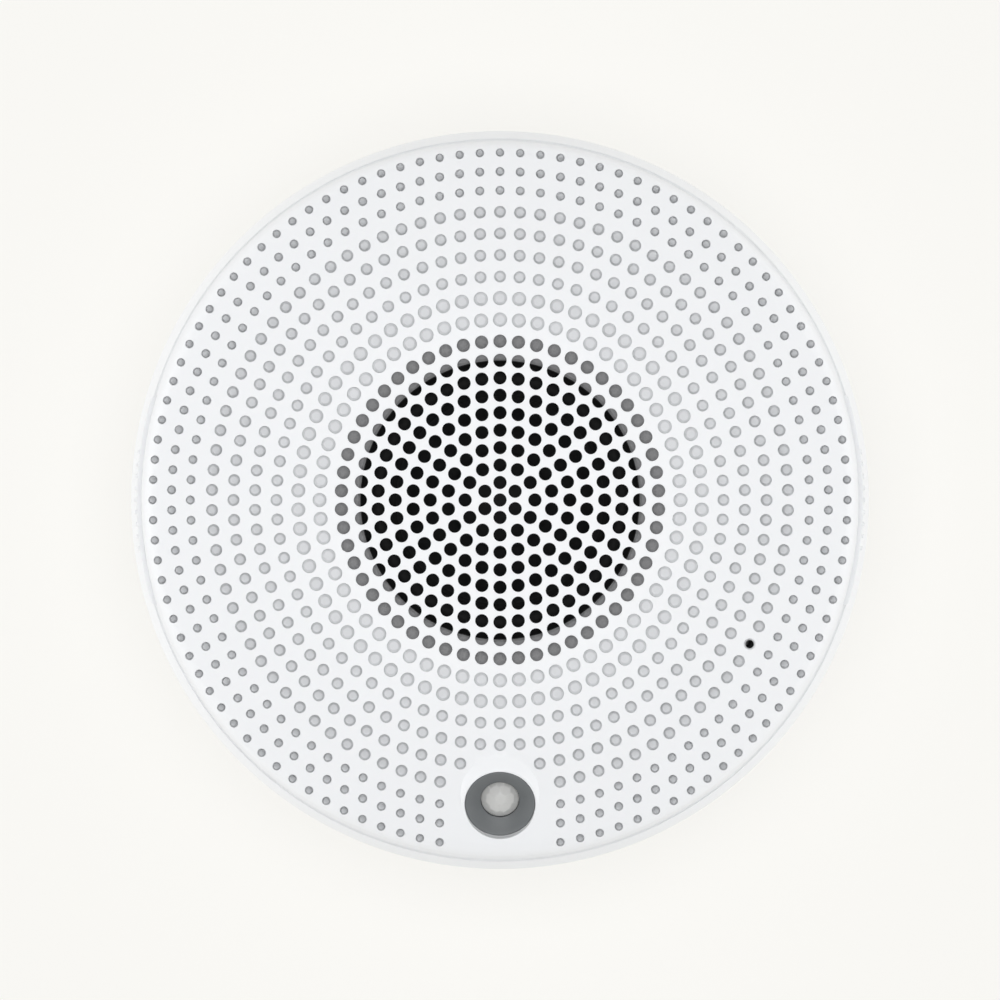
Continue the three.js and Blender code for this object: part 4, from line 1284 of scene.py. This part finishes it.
class SPEAKER_OT_mounting_plate(bpy.types.Operator):
    """Mounting plate that stays on the wall, with its hooks, screw slots and cable window"""

    bl_idname = "speaker.mounting_plate"
    bl_label = "Mounting plate"

    def execute(self, context):
        plate = turned("wall_plate", plate_outline(), 160)
        hooks = [piece for angle in HOOKS for piece in lock_hook(angle)]
        slots = [piece for angle in (0, 180, 270) for piece in wall_slot(angle)]
        socket_high = high("network_socket")
        window_low = (socket_high.x - 6.8 * MM, 0, -1 * MM)
        window_high = (socket_high.x + 30 * MM, socket_high.y + 4 * MM, 3.2 * MM)
        combine(plate, hooks, "UNION")
        combine(plate, [block("window", window_low, window_high), *slots], "DIFFERENCE")
        finish_piece(plate, "plate_steel", MOUNT, "mounting_plate")
        return {"FINISHED"}


# ---------- screws ----------


def pan_head_screw(length):
    """A pan-head screw with a cross recess: its seat is at 0, its head below and its thread above."""
    head = 2.6 * MM
    height = 1.6 * MM
    core = 1.05 * MM
    crest = 1.3 * MM
    pitch = 0.5 * MM
    outline = [
        (0, -height),
        (head * 0.55, -height * 0.99),
        (head * 0.8, -height * 0.85),
        (head * 0.95, -height * 0.55),
        (head, -height * 0.2),
        (head - 0.1 * MM, 0),
        (core, 0),
    ]
    for i in range(1, int(length / pitch) - 1):
        outline += [(core, pitch * i), (crest, pitch * (i + 0.5))]
    outline += [(core, length - 0.5 * MM), (core * 0.5, length), (0, length)]
    screw = turned("screw", outline, 20)
    recess = []
    for turn in (0, 90):
        place = Matrix.Rotation(math.radians(turn), 4, "Z")
        arm_low = (-1.4 * MM, -0.3 * MM, -height - 1 * MM)
        arm_high = (1.4 * MM, 0.3 * MM, -height + 0.9 * MM)
        recess.append(block("recess", arm_low, arm_high, place))
    return combine(screw, recess, "DIFFERENCE")


class SPEAKER_OT_screws(bpy.types.Operator):
    """Housing screws, driver screws and board screws"""

    bl_idname = "speaker.screws"
    bl_label = "Screws"

    def execute(self, context):
        short = 4.3 * MM
        sets = (
            ("housing_screw", 10 * MM, CORNERS, POST_CIRCLE, BACK_WALL_TOP - 0.1 * MM, False),
            ("driver_screw", short, CORNERS, BOSS_CIRCLE, high("driver_screw_1").z - short, False),
            ("board_screw", 8 * MM, PILLARS, PILLAR_CIRCLE, BOARD_TOP, True),
        )
        for name, length, angles, circle, seat, flipped in sets:
            screw = pan_head_screw(length)
            made = ring_of_copies(name + "s", screw, "zinc_steel", angles, circle, seat, flipped)
            nodes = [f"{name}_{i + 1}" for i in range(len(angles))]
            finish_piece(made, "zinc_steel", UNIT, *nodes)
        return {"FINISHED"}


# ---------- motion sensor and microphone ----------


def sphere_through(radius, rise):
    """Radius of the sphere whose cap has this radius and rise."""
    return (radius**2 + rise**2) / (2 * rise)


def lens_dome(radius, rise, spring_line, sides):
    """Outline of a shallow dome from its crown to its spring line."""
    sphere = sphere_through(radius, rise)
    half = math.asin(radius / sphere)
    points = []
    for i in range(sides + 1):
        turn = half * i / sides
        points.append((sphere * math.sin(turn), spring_line + rise - sphere * (1 - math.cos(turn))))
    return points


def cut_facets(obj, centre, radius, normals):
    """Planes off a dome into flat facets."""
    bm = bmesh.new()
    bm.from_mesh(obj.data)
    for normal in normals:
        everything = list(bm.verts) + list(bm.edges) + list(bm.faces)
        plane = {"plane_co": centre + normal * radius, "plane_no": normal}
        cut = bmesh.ops.bisect_plane(bm, geom=everything, clear_outer=True, **plane)
        rim = [item for item in cut["geom_cut"] if isinstance(item, bmesh.types.BMEdge)]
        bmesh.ops.holes_fill(bm, edges=rim, sides=0)
    bmesh.ops.recalc_face_normals(bm, faces=bm.faces)
    bm.to_mesh(obj.data)
    bm.free()


def sensor_lens():
    """The milky lens: a dome planed into a hexagon that faces the room, with facets round it."""
    sheet = 0.5 * MM
    rise = 2.4 * MM
    flange = LENS_RADIUS + 2.2 * MM
    outline = [
        *lens_dome(LENS_RADIUS, rise, -rise, 14),
        (LENS_RADIUS, LENS_FLANGE_TOP),
        (flange, LENS_FLANGE_TOP),
        (flange, LENS_FLANGE_BOTTOM),
        (LENS_RADIUS - sheet, LENS_FLANGE_BOTTOM),
        *reversed(lens_dome(LENS_RADIUS - sheet, rise - sheet, -rise, 8)),
    ]
    lens = turned("lens", outline, 96)
    sphere = sphere_through(LENS_RADIUS, rise)
    planed = 0.972
    towards_room = Matrix.Rotation(math.radians(-12), 4, "Y")
    normals = [towards_room @ Vector((0, 0, 1))]
    for lean, count, shift in ((30, 6, 30), (52, 12, 0)):
        for i in range(count):
            turn = math.radians(shift + 360 * i / count)
            tip = math.radians(lean)
            direction = (math.sin(tip) * math.cos(turn), math.sin(tip) * math.sin(turn), math.cos(tip))
            normals.append(towards_room @ Vector(direction))
    cut_facets(lens, Vector((0, 0, -sphere)), sphere * planed, normals)
    lens.data.transform(sensor_place())
    return lens


def sensor_cup():
    """The grey cup: a cone down to the lens, with a flange behind the cover's collar."""
    rim = 0.12 * MM
    wide = CUP_RADIUS - 0.25 * MM
    narrow = LENS_RADIUS + CLOSE_GAP
    outline = [
        (narrow, CUP_FLANGE_BOTTOM),
        (CUP_RADIUS + CUP_FLANGE, CUP_FLANGE_BOTTOM),
        (CUP_RADIUS + CUP_FLANGE, CUP_FLANGE_TOP),
        (CUP_RADIUS, CUP_FLANGE_TOP),
        (CUP_RADIUS, -rim),
        (CUP_RADIUS - rim, 0),
        (wide, -0.03 * MM),
    ]
    steps = 8
    for i in range(1, steps):
        share = i / steps
        bow = 0.12 * MM * math.sin(math.pi * share)
        outline.append((wide + (narrow - wide) * share, -CUP_DEPTH * share - bow))
    outline.append((narrow, -CUP_DEPTH))
    return turned("cup", outline, 96, sensor_place())


def detector_can():
    """The metal can of the detector behind the lens, with its window frame and foot rim."""
    top = DETECTOR_TOP
    bottom = top - 4 * MM
    radius = 4.1 * MM
    foot = radius + 0.5 * MM
    outline = [
        (0, bottom),
        (foot, bottom),
        (foot, bottom + 0.5 * MM),
        (foot - 0.2 * MM, bottom + 0.6 * MM),
        (radius, bottom + 0.75 * MM),
        (radius, top - 0.4 * MM),
        (radius - 0.15 * MM, top - 0.1 * MM),
        (radius - 0.5 * MM, top),
        (0, top),
    ]
    can = turned("detector_can", outline, 64, sensor_place())
    window_low = (-2 * MM, -1.5 * MM, top - 0.3 * MM)
    window = block("window", window_low, (2 * MM, 1.5 * MM, top + 1 * MM), sensor_place())
    return combine(can, [window], "DIFFERENCE")


class SPEAKER_OT_motion_sensor(bpy.types.Operator):
    """Motion sensor: its cup, faceted lens, detector and small board"""

    bl_idname = "speaker.motion_sensor"
    bl_label = "Motion sensor"

    def execute(self, context):
        finish_piece(sensor_cup(), "cup_grey", UNIT, "sensor_cup")
        finish_piece(sensor_lens(), "lens_milky", UNIT, "sensor_lens", angle=9)
        finish_piece(detector_can(), "zinc_steel", UNIT, "sensor_detector")
        rounded_copy("sensor_board", "board_green", width=0.15 * MM)
        return {"FINISHED"}


class SPEAKER_OT_microphone(bpy.types.Operator):
    """Microphone: rubber boot, capsule and small board behind its opening in the cover"""

    bl_idname = "speaker.microphone"
    bl_label = "Microphone"

    def execute(self, context):
        top = -COVER_WALL - FIT_GAP
        bottom = top - 2.2 * MM
        hole = 0.83 * MM
        outer = 3 * MM
        soft = 0.25 * MM
        outline = [
            (hole, bottom),
            (outer - soft, bottom),
            (outer, bottom + soft),
            (outer, top - soft),
            (outer - soft, top),
            (hole, top),
        ]
        boot = turned("rubber_boot", outline, 48, microphone_place())
        finish_piece(boot, "black_rubber", UNIT, "microphone_boot")
        rounded_copy("microphone_capsule", "zinc_steel", width=0.15 * MM)
        rounded_copy("microphone_board", "board_green", width=0.1 * MM)
        return {"FINISHED"}


# ---------- loudspeaker ----------


def rounded_ring(name, inner, outer, bottom, top, soft, segments=96):
    """A ring of rectangular section with its edges softened."""
    outline = [
        (inner, bottom + soft),
        (inner + soft, bottom),
        (outer - soft, bottom),
        (outer, bottom + soft),
        (outer, top - soft),
        (outer - soft, top),
        (inner + soft, top),
        (inner, top - soft),
    ]
    return turned(name, outline, segments)


def basket():
    """The pressed frame of the driver, with six windows and four screw ears."""
    sheet = 1.4 * MM
    neck = MAGNET_RADIUS - 1.3 * MM
    collar = MAGNET_RADIUS - 12.0 * MM
    ledge = TOP_PLATE_TOP + 2.5 * MM
    seat = DRIVER_RADIUS - 7.6 * MM
    soft = 0.25 * MM
    outline = [
        (DRIVER_RADIUS - soft, FRAME_FRONT),
        (DRIVER_RADIUS, FRAME_FRONT - soft),
        (DRIVER_RADIUS, FRAME_BACK + soft),
        (DRIVER_RADIUS - soft, FRAME_BACK),
        (seat + sheet + 0.5 * MM, FRAME_BACK),
        (seat + sheet - 0.2 * MM, FRAME_BACK - 0.4 * MM),
        (neck, TOP_PLATE_TOP + sheet),
        (neck, TOP_PLATE_TOP),
        (collar, TOP_PLATE_TOP),
        (collar, TOP_PLATE_TOP + sheet),
        (neck - 3.3 * MM, TOP_PLATE_TOP + sheet),
        (neck - 3.3 * MM, ledge),
        (neck - 1.1 * MM, ledge),
        (seat - 0.3 * MM, FRAME_BACK - 0.2 * MM),
        (seat, FRAME_BACK + 0.3 * MM),
        (seat, FRAME_FRONT),
    ]
    shell = turned("basket_shell", outline, 120)
    half = 3.6 * MM
    ears = []
    cuts = []
    for angle in CORNERS:
        arm_low = (DRIVER_RADIUS - 1 * MM, -half, FRAME_BACK)
        ears.append(block("arm", arm_low, (BOSS_CIRCLE, half, FRAME_FRONT), at(0, angle)))
        ears.append(upright(half, FRAME_BACK, FRAME_FRONT, at(BOSS_CIRCLE, angle), 48))
        cuts.append(upright(SCREW_BORE, FRAME_BACK - 1 * MM, FRAME_FRONT + 1 * MM, at(BOSS_CIRCLE, angle)))
    window_low = (neck - 3 * MM, -6.5 * MM, ledge + 1 * MM)
    window_high = (DRIVER_RADIUS, 6.5 * MM, FRAME_BACK - 1.2 * MM)
    for i in range(6):
        cuts.append(block("window", window_low, window_high, at(0, 30 + 60 * i), 0.8 * MM))
    combine(shell, ears, "UNION")
    return combine(shell, cuts, "DIFFERENCE")


def half_roll(inner, outer, bottom, rise, steps):
    """Outline of a half roll between two radii."""
    middle = (inner + outer) / 2
    half = (outer - inner) / 2
    points = []
    for i in range(steps + 1):
        turn = math.pi * i / steps
        points.append((middle - half * math.cos(turn), bottom + rise * math.sin(turn)))
    return points


def surround():
    """The rubber half roll between cone and frame, with glued lips on both sides."""
    sheet = 0.5 * MM
    bottom = low("cone_surround").z
    inner = high("speaker_cone").y
    outer = inner + 5 * MM
    lip = 1 * MM
    outline = [
        (inner - lip, bottom),
        *half_roll(inner + sheet, outer - sheet, bottom, 2.2 * MM, 16),
        (outer + lip, bottom),
        (outer + lip, bottom + sheet),
        *reversed(half_roll(inner, outer, bottom + sheet, 2.2 * MM, 16)),
        (inner - lip, bottom + sheet),
    ]
    return turned("surround_roll", outline, 128)


def paper_cone():
    """The paper cone, gently curved from the coil's neck to the surround."""
    paper = 0.6 * MM
    lowest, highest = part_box("speaker_cone")
    neck = 8.7 * MM
    edge = highest.y
    rise = highest.z - paper - lowest.z
    front = []
    back = []
    steps = 12
    for i in range(steps + 1):
        share = i / steps
        radius = neck + (edge - 1 * MM - neck) * share
        height = lowest.z + rise * (share * 0.84 + share**2 * 0.16)
        back.append((radius, height))
        front.append((radius - 0.3 * MM * share, height + paper))
    outline = [*back, (edge, highest.z - paper), (edge, highest.z), *reversed(front)]
    return turned("paper_cone", outline, 128)


def dust_cap():
    lowest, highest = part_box("dust_cap")
    radius = highest.y
    sheet = 0.5 * MM
    rise = highest.z - lowest.z - sheet
    crown = []
    inside = []
    steps = 10
    for i in range(steps + 1):
        run = i / steps
        crown.append((radius * run, lowest.z + sheet + rise * (1 - run**2)))
        inside.append(((radius - 0.4 * MM) * run, lowest.z + 0.2 * MM + (rise - sheet) * (1 - run**2)))
    return turned("cap_dome", [*crown, (radius, lowest.z), *reversed(inside)], 96)


def spider_disc():
    """The corrugated cloth disc that centres the coil."""
    lowest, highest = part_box("spider")
    sheet = 0.3 * MM
    inner = high("voice_coil").y + 0.15 * MM
    outer = MAGNET_RADIUS - 2.7 * MM
    rim = 2.2 * MM
    middle = (lowest.z + highest.z) / 2
    swing = (highest.z - lowest.z - sheet) / 2
    steps = 60
    top = []
    for i in range(steps + 1):
        share = i / steps
        height = middle - swing * math.sin(share * 5 * math.pi) * min(1.0, share * 4)
        height -= CONE_TRAVEL * max(0.0, 1 - share * 3)
        top.append((inner + (outer - rim - inner) * share, height))
    top.append((outer - rim + 0.6 * MM, lowest.z + sheet / 2))
    top.append((outer, lowest.z + sheet / 2))
    under = [(radius, height - sheet / 2) for radius, height in reversed(top)]
    return turned("spider_disc", [(r, z + sheet / 2) for r, z in top] + under, 96)


def coil_winding():
    """The copper winding: turn upon turn of wire round the former."""
    lowest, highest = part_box("voice_coil")
    outer = highest.y
    inner = outer - 0.55 * MM
    turns = 22
    pitch = (highest.z - lowest.z) / turns
    outline = [(inner, highest.z), (inner, lowest.z)]
    for i in range(turns):
        bottom = lowest.z + pitch * i
        outline += [(outer - 0.1 * MM, bottom), (outer, bottom + pitch * 0.3), (outer, bottom + pitch * 0.7)]
    outline.append((outer - 0.1 * MM, highest.z))
    return turned("coil_winding", outline, 64)


def pole_piece():
    lowest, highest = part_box("pole_and_back_plate")
    plate_top = low("magnet").z
    plate = highest.y
    pole = 7.6 * MM
    soft = 0.4 * MM
    outline = [
        (0, lowest.z),
        (plate - soft, lowest.z),
        (plate, lowest.z + soft),
        (plate, plate_top),
        (pole, plate_top),
        (pole, highest.z - soft),
        (pole - soft, highest.z),
        (0, highest.z),
    ]
    return turned("pole_piece", outline, 96)


class SPEAKER_OT_driver_frame(bpy.types.Operator):
    """Driver frame with its foam ring, surround, spider and terminals"""

    bl_idname = "speaker.driver_frame"
    bl_label = "Driver frame"

    def execute(self, context):
        finish_piece(basket(), "black_metal", UNIT, "driver_basket")
        lowest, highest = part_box("driver_gasket")
        ring = rounded_ring("foam_ring", highest.y - 5.8 * MM, highest.y, lowest.z, highest.z, 0.5 * MM, 128)
        finish_piece(ring, "foam_grey", UNIT, "driver_gasket")
        finish_piece(surround(), "black_rubber", UNIT, "cone_surround", angle=50)
        finish_piece(spider_disc(), "amber_cloth", UNIT, "spider", angle=60)
        rounded_copy("terminal_strip", "amber_cloth")
        for node in ("terminal_tag_1", "terminal_tag_2"):
            rounded_copy(node, "zinc_steel", width=0.1 * MM)
        return {"FINISHED"}


class SPEAKER_OT_moving_cone(bpy.types.Operator):
    """What moves when the speaker sounds: cone, dust cap, former and coil"""

    bl_idname = "speaker.moving_cone"
    bl_label = "Moving cone"

    def execute(self, context):
        finish_piece(paper_cone(), "black_paper", CONE, "speaker_cone", angle=50)
        finish_piece(dust_cap(), "black_paper", CONE, "dust_cap")
        lowest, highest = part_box("coil_former")
        former = rounded_ring("former_tube", highest.y - 0.3 * MM, highest.y, lowest.z, highest.z, 0.05 * MM)
        finish_piece(former, "former_film", CONE, "coil_former")
        finish_piece(coil_winding(), "copper", CONE, "voice_coil")
        return {"FINISHED"}


class SPEAKER_OT_magnet_system(bpy.types.Operator):
    """Magnet, top plate and the pole piece with its back plate"""

    bl_idname = "speaker.magnet_system"
    bl_label = "Magnet system"

    def execute(self, context):
        lowest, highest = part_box("magnet")
        magnet = rounded_ring("magnet_ring", 12 * MM, highest.y, lowest.z, highest.z, 0.5 * MM)
        finish_piece(magnet, "ferrite", UNIT, "magnet")
        lowest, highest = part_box("top_plate")
        plate = rounded_ring("top_plate_ring", 9.5 * MM, highest.y, lowest.z, highest.z, 0.3 * MM)
        finish_piece(plate, "zinc_steel", UNIT, "top_plate")
        finish_piece(pole_piece(), "zinc_steel", UNIT, "pole_and_back_plate")
        return {"FINISHED"}


# ---------- electronics ----------


class SPEAKER_OT_main_board(bpy.types.Operator):
    """Ring-shaped main board with its small parts"""

    bl_idname = "speaker.main_board"
    bl_label = "Main board"

    def execute(self, context):
        lowest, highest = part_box("main_board")
        inner = MAGNET_RADIUS + 3 * MM
        board = rounded_ring("board_ring", inner, highest.x, lowest.z, highest.z, 0.1 * MM, 160)
        below = lowest.z - 1 * MM
        above = highest.z + 1 * MM
        cuts = [block("notch", (-highest.x, -HOUSING_RADIUS, below), (highest.x, lowest.y, above))]
        for angle in PILLARS:
            cuts.append(upright(SCREW_BORE, below, above, at(PILLAR_CIRCLE, angle)))
        combine(board, cuts, "DIFFERENCE")
        finish_piece(board, "board_green", UNIT, "main_board")
        finish_piece(self.small_parts(), "chip_black", UNIT)
        return {"FINISHED"}

    def small_parts(self):
        """Rows of small parts on the free side of the board."""
        part_low = (-0.8 * MM, -0.45 * MM, 0.02 * MM)
        part = block("small_part", part_low, (0.8 * MM, 0.45 * MM, 0.6 * MM), bevel=0.1 * MM)
        inputs = {
            "Parts in a row": 16,
            "Rows": 4,
            "First angle": math.radians(75),
            "Angle step": math.radians(5),
            "First row": 33.0 * MM,
            "Row pitch": 6.0 * MM,
            "Height": BOARD_TOP,
            "Part": part,
            "Material": finish_named("chip_black"),
        }
        tree = GeometryTree("small_parts", inputs)
        in_row = tree.input("Parts in a row")
        row = (tree.index / in_row).math("FLOOR")
        turn = (tree.index - row * in_row) * tree.input("Angle step") + tree.input("First angle")
        circle = tree.input("First row") + row * tree.input("Row pitch")
        position = tree.vector(circle * turn.math("COSINE"), circle * turn.math("SINE"), tree.input("Height"))
        quarter = (row * 0.5).math("FRACT") * math.pi
        rotation = tree.vector(0.0, 0.0, turn + quarter)
        copies = tree.copies("Part", in_row * tree.input("Rows"), position, rotation)
        made = tree.run(empty_object("small_parts"), copies)
        remove_objects([part])
        return made


class SPEAKER_OT_network_socket(bpy.types.Operator):
    """Shielded network socket with its eight contacts"""

    bl_idname = "speaker.network_socket"
    bl_label = "Network socket"

    def execute(self, context):
        lowest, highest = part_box("network_socket")
        centre_y = (lowest.y + highest.y) / 2
        back = highest.x - 13 * MM
        front = highest.x + 1 * MM
        floor = lowest.z + 2 * MM
        roof = floor + 7 * MM
        shield = block("shield", lowest, highest, bevel=0.3 * MM)
        half = 5.85 * MM
        latch = 3.2 * MM
        mouth = block("mouth", (back, centre_y - half, floor), (front, centre_y + half, roof))
        slot_low = (back, centre_y - latch, floor + 1 * MM)
        slot = block("latch", slot_low, (front, centre_y + latch, roof + 2.4 * MM))
        combine(shield, [mouth, slot], "DIFFERENCE")
        finish_piece(shield, "socket_steel", UNIT, "network_socket")
        contact_low = (back - 0.1 * MM, -0.17 * MM, 0)
        contact = block("contact", contact_low, (highest.x - 3 * MM, 0.17 * MM, 0.3 * MM), bevel=0.06 * MM)
        inputs = {
            "Contacts": 8,
            "Contact pitch": 1.02 * MM,
            "Centre Y": centre_y,
            "Height": floor + 0.4 * MM,
            "Contact": contact,
            "Material": finish_named("contact_gold"),
        }
        tree = GeometryTree("socket_contacts", inputs)
        from_centre = tree.index - (tree.input("Contacts") - 1.0) * 0.5
        y = from_centre * tree.input("Contact pitch") + tree.input("Centre Y")
        position = tree.vector(0.0, y, tree.input("Height"))
        copies = tree.copies("Contact", tree.input("Contacts"), position, (0.0, 0.0, 0.0))
        made = tree.run(empty_object("socket_contacts"), copies)
        remove_objects([contact])
        finish_piece(made, "contact_gold", UNIT, own_slot=False)
        return {"FINISHED"}


class SPEAKER_OT_board_parts(bpy.types.Operator):
    """Chips, inductors, capacitors, connectors and leads"""

    bl_idname = "speaker.board_parts"
    bl_label = "Board parts"

    def execute(self, context):
        for node in ("processor", "memory_chip", "amplifier_chip", "reset_switch"):
            rounded_copy(node, "chip_black", width=0.12 * MM)
        for node in ("power_transformer", "supply_inductor", "output_inductor_1", "output_inductor_2"):
            rounded_copy(node, "chip_black", width=0.6 * MM)
        for node in ("speaker_connector", "sensor_connector"):
            rounded_copy(node, "connector_white", width=0.25 * MM)
        for node in ("supply_capacitor_1", "supply_capacitor_2"):
            self.capacitor(node)
        leads = {
            "speaker_lead_black": "lead_black",
            "speaker_lead_red": "lead_red",
            "sensor_lead": "lead_black",
            "microphone_lead": "lead_black",
        }
        for node, slot in leads.items():
            round_tube_copy(node, slot)
        return {"FINISHED"}

    def capacitor(self, node):
        """A can with a groove round it near its foot and a rounded top."""
        lowest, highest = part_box(node)
        radius = (highest.y - lowest.y) / 2
        outline = [
            (0, lowest.z),
            (radius - 0.6 * MM, lowest.z),
            (radius - 0.15 * MM, lowest.z + 0.15 * MM),
            (radius, lowest.z + 0.6 * MM),
            (radius, highest.z - 2.2 * MM),
            (radius - 0.35 * MM, highest.z - 1.9 * MM),
            (radius - 0.35 * MM, highest.z - 1.6 * MM),
            (radius, highest.z - 1.3 * MM),
            (radius, highest.z - 0.2 * MM),
            (radius - 0.2 * MM, highest.z),
            (0, highest.z),
        ]
        can = turned(node + "_can", outline, 48, standing_at(node))
        finish_piece(can, "zinc_steel", UNIT, node)


class SPEAKER_OT_reset_and_light(bpy.types.Operator):
    """Reset button, status light and the guide that brings its light to the back"""

    bl_idname = "speaker.reset_and_light"
    bl_label = "Reset button and status light"

    def execute(self, context):
        lowest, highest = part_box("reset_button")
        flange = (highest.y - lowest.y) / 2
        stem = flange - 0.8 * MM
        soft = 0.2 * MM
        outline = [
            (0, lowest.z + 0.15 * MM),
            (stem * 0.6, lowest.z),
            (stem - soft, lowest.z),
            (stem, lowest.z + soft),
            (stem, highest.z - 1 * MM),
            (flange - 0.1 * MM, highest.z - 1 * MM),
            (flange, highest.z - 0.9 * MM),
            (flange, highest.z - 0.1 * MM),
            (flange - 0.1 * MM, highest.z),
            (0, highest.z),
        ]
        button = turned("button_pin", outline, 48, standing_at("reset_button"))
        finish_piece(button, "button_grey", KEY, "reset_button")
        rounded_copy("status_light", "light_clear", width=0.15 * MM)
        lowest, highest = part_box("light_guide")
        radius = (highest.y - lowest.y) / 2
        outline = [
            (0, lowest.z),
            (radius - soft, lowest.z + 0.05 * MM),
            (radius, lowest.z + soft),
            (radius, highest.z - soft),
            (radius - soft, highest.z),
            (0, highest.z),
        ]
        guide = turned("light_pipe", outline, 48, standing_at("light_guide"))
        finish_piece(guide, "light_clear", UNIT, "light_guide")
        return {"FINISHED"}


# ---------- stage ----------


def area_light(name, power, width, height, location):
    """A soft rectangular light that faces the speaker."""
    data = bpy.data.lights.new(name, "AREA")
    data.energy = power
    data.shape = "RECTANGLE"
    data.size = width
    data.size_y = height
    light = object_of(name, data)
    light.visible_camera = False
    light.location = location
    aim = Vector((0, 0, CROWN / 2)) - Vector(location)
    light.rotation_euler = aim.to_track_quat("-Z", "Y").to_euler()


class SPEAKER_OT_stage(bpy.types.Operator):
    """Floor, soft lights and the camera in front of the speaker"""

    bl_idname = "speaker.stage"
    bl_label = "Stage"

    def execute(self, context):
        settings = stage_settings()
        scene = context.scene
        scene.view_settings.view_transform = "Standard"
        half = 1.6
        floor = block("floor", (-half, -half, -20 * MM), (half, half, -0.05 * MM))
        floor.data.materials.append(floor_finish("floor", tuple(settings.floor)))

        world = bpy.data.worlds.new("studio")
        world.use_nodes = True
        background = world.node_tree.nodes["Background"]
        background.inputs["Strength"].default_value = 0.45
        background.inputs["Color"].default_value = (1.0, 1.0, 1.0, 1.0)
        scene.world = world

        area_light("overhead", settings.key_power, 0.4, 0.4, (0, 0, 0.6))
        reach, height = 0.8, 0.10
        for name, share, x, y in (
            ("left", 1.3, -reach, 0),
            ("right", 1.15, reach, 0),
            ("top", 0.5, 0, reach),
            ("bottom", 0.45, 0, -reach),
        ):
            area_light(name, settings.side_power * share, 0.8, 0.3, (x, y, height))

        view = bpy.data.cameras.new("camera")
        view.type = "ORTHO"
        view.ortho_scale = settings.view_width
        view.clip_end = 10
        camera = object_of("camera", view)
        camera.location = (0, 0, 1.2)
        scene.camera = camera
        return {"FINISHED"}


# ---------- panel, registration and run ----------


def grille():
    return bpy.context.scene.speaker_grille


def colours():
    return bpy.context.scene.speaker_colours


def stage_settings():
    return bpy.context.scene.speaker_stage


OPERATORS = (
    SPEAKER_OT_stage,
    SPEAKER_OT_front_cover,
    SPEAKER_OT_rear_housing,
    SPEAKER_OT_mounting_plate,
    SPEAKER_OT_screws,
    SPEAKER_OT_motion_sensor,
    SPEAKER_OT_microphone,
    SPEAKER_OT_driver_frame,
    SPEAKER_OT_moving_cone,
    SPEAKER_OT_magnet_system,
    SPEAKER_OT_main_board,
    SPEAKER_OT_network_socket,
    SPEAKER_OT_board_parts,
    SPEAKER_OT_reset_and_light,
)
SETTINGS = (
    (SpeakerGrille, "speaker_grille"),
    (SpeakerColours, "speaker_colours"),
    (SpeakerStage, "speaker_stage"),
)


class SPEAKER_PT_panel(bpy.types.Panel):
    """Lists the speaker's pieces and settings"""

    bl_idname = "SPEAKER_PT_panel"
    bl_label = "Network mini speaker"
    bl_space_type = "VIEW_3D"
    bl_region_type = "UI"
    bl_category = "Speaker"

    def draw(self, context):
        for operator in OPERATORS:
            self.layout.operator(operator.bl_idname)
        for settings, name in SETTINGS:
            box = self.layout.box()
            for label in settings.__annotations__:
                box.prop(getattr(context.scene, name), label)


def register():
    for settings, name in SETTINGS:
        bpy.utils.register_class(settings)
        setattr(bpy.types.Scene, name, bpy.props.PointerProperty(type=settings))
    for operator in OPERATORS:
        bpy.utils.register_class(operator)
    bpy.utils.register_class(SPEAKER_PT_panel)


def unregister():
    bpy.utils.unregister_class(SPEAKER_PT_panel)
    for operator in reversed(OPERATORS):
        bpy.utils.unregister_class(operator)
    for settings, name in reversed(SETTINGS):
        delattr(bpy.types.Scene, name)
        bpy.utils.unregister_class(settings)


def main():
    register()
    for operator in OPERATORS:
        group, name = operator.bl_idname.split(".")
        getattr(getattr(bpy.ops, group), name)()


if __name__ == "__main__":
    main()
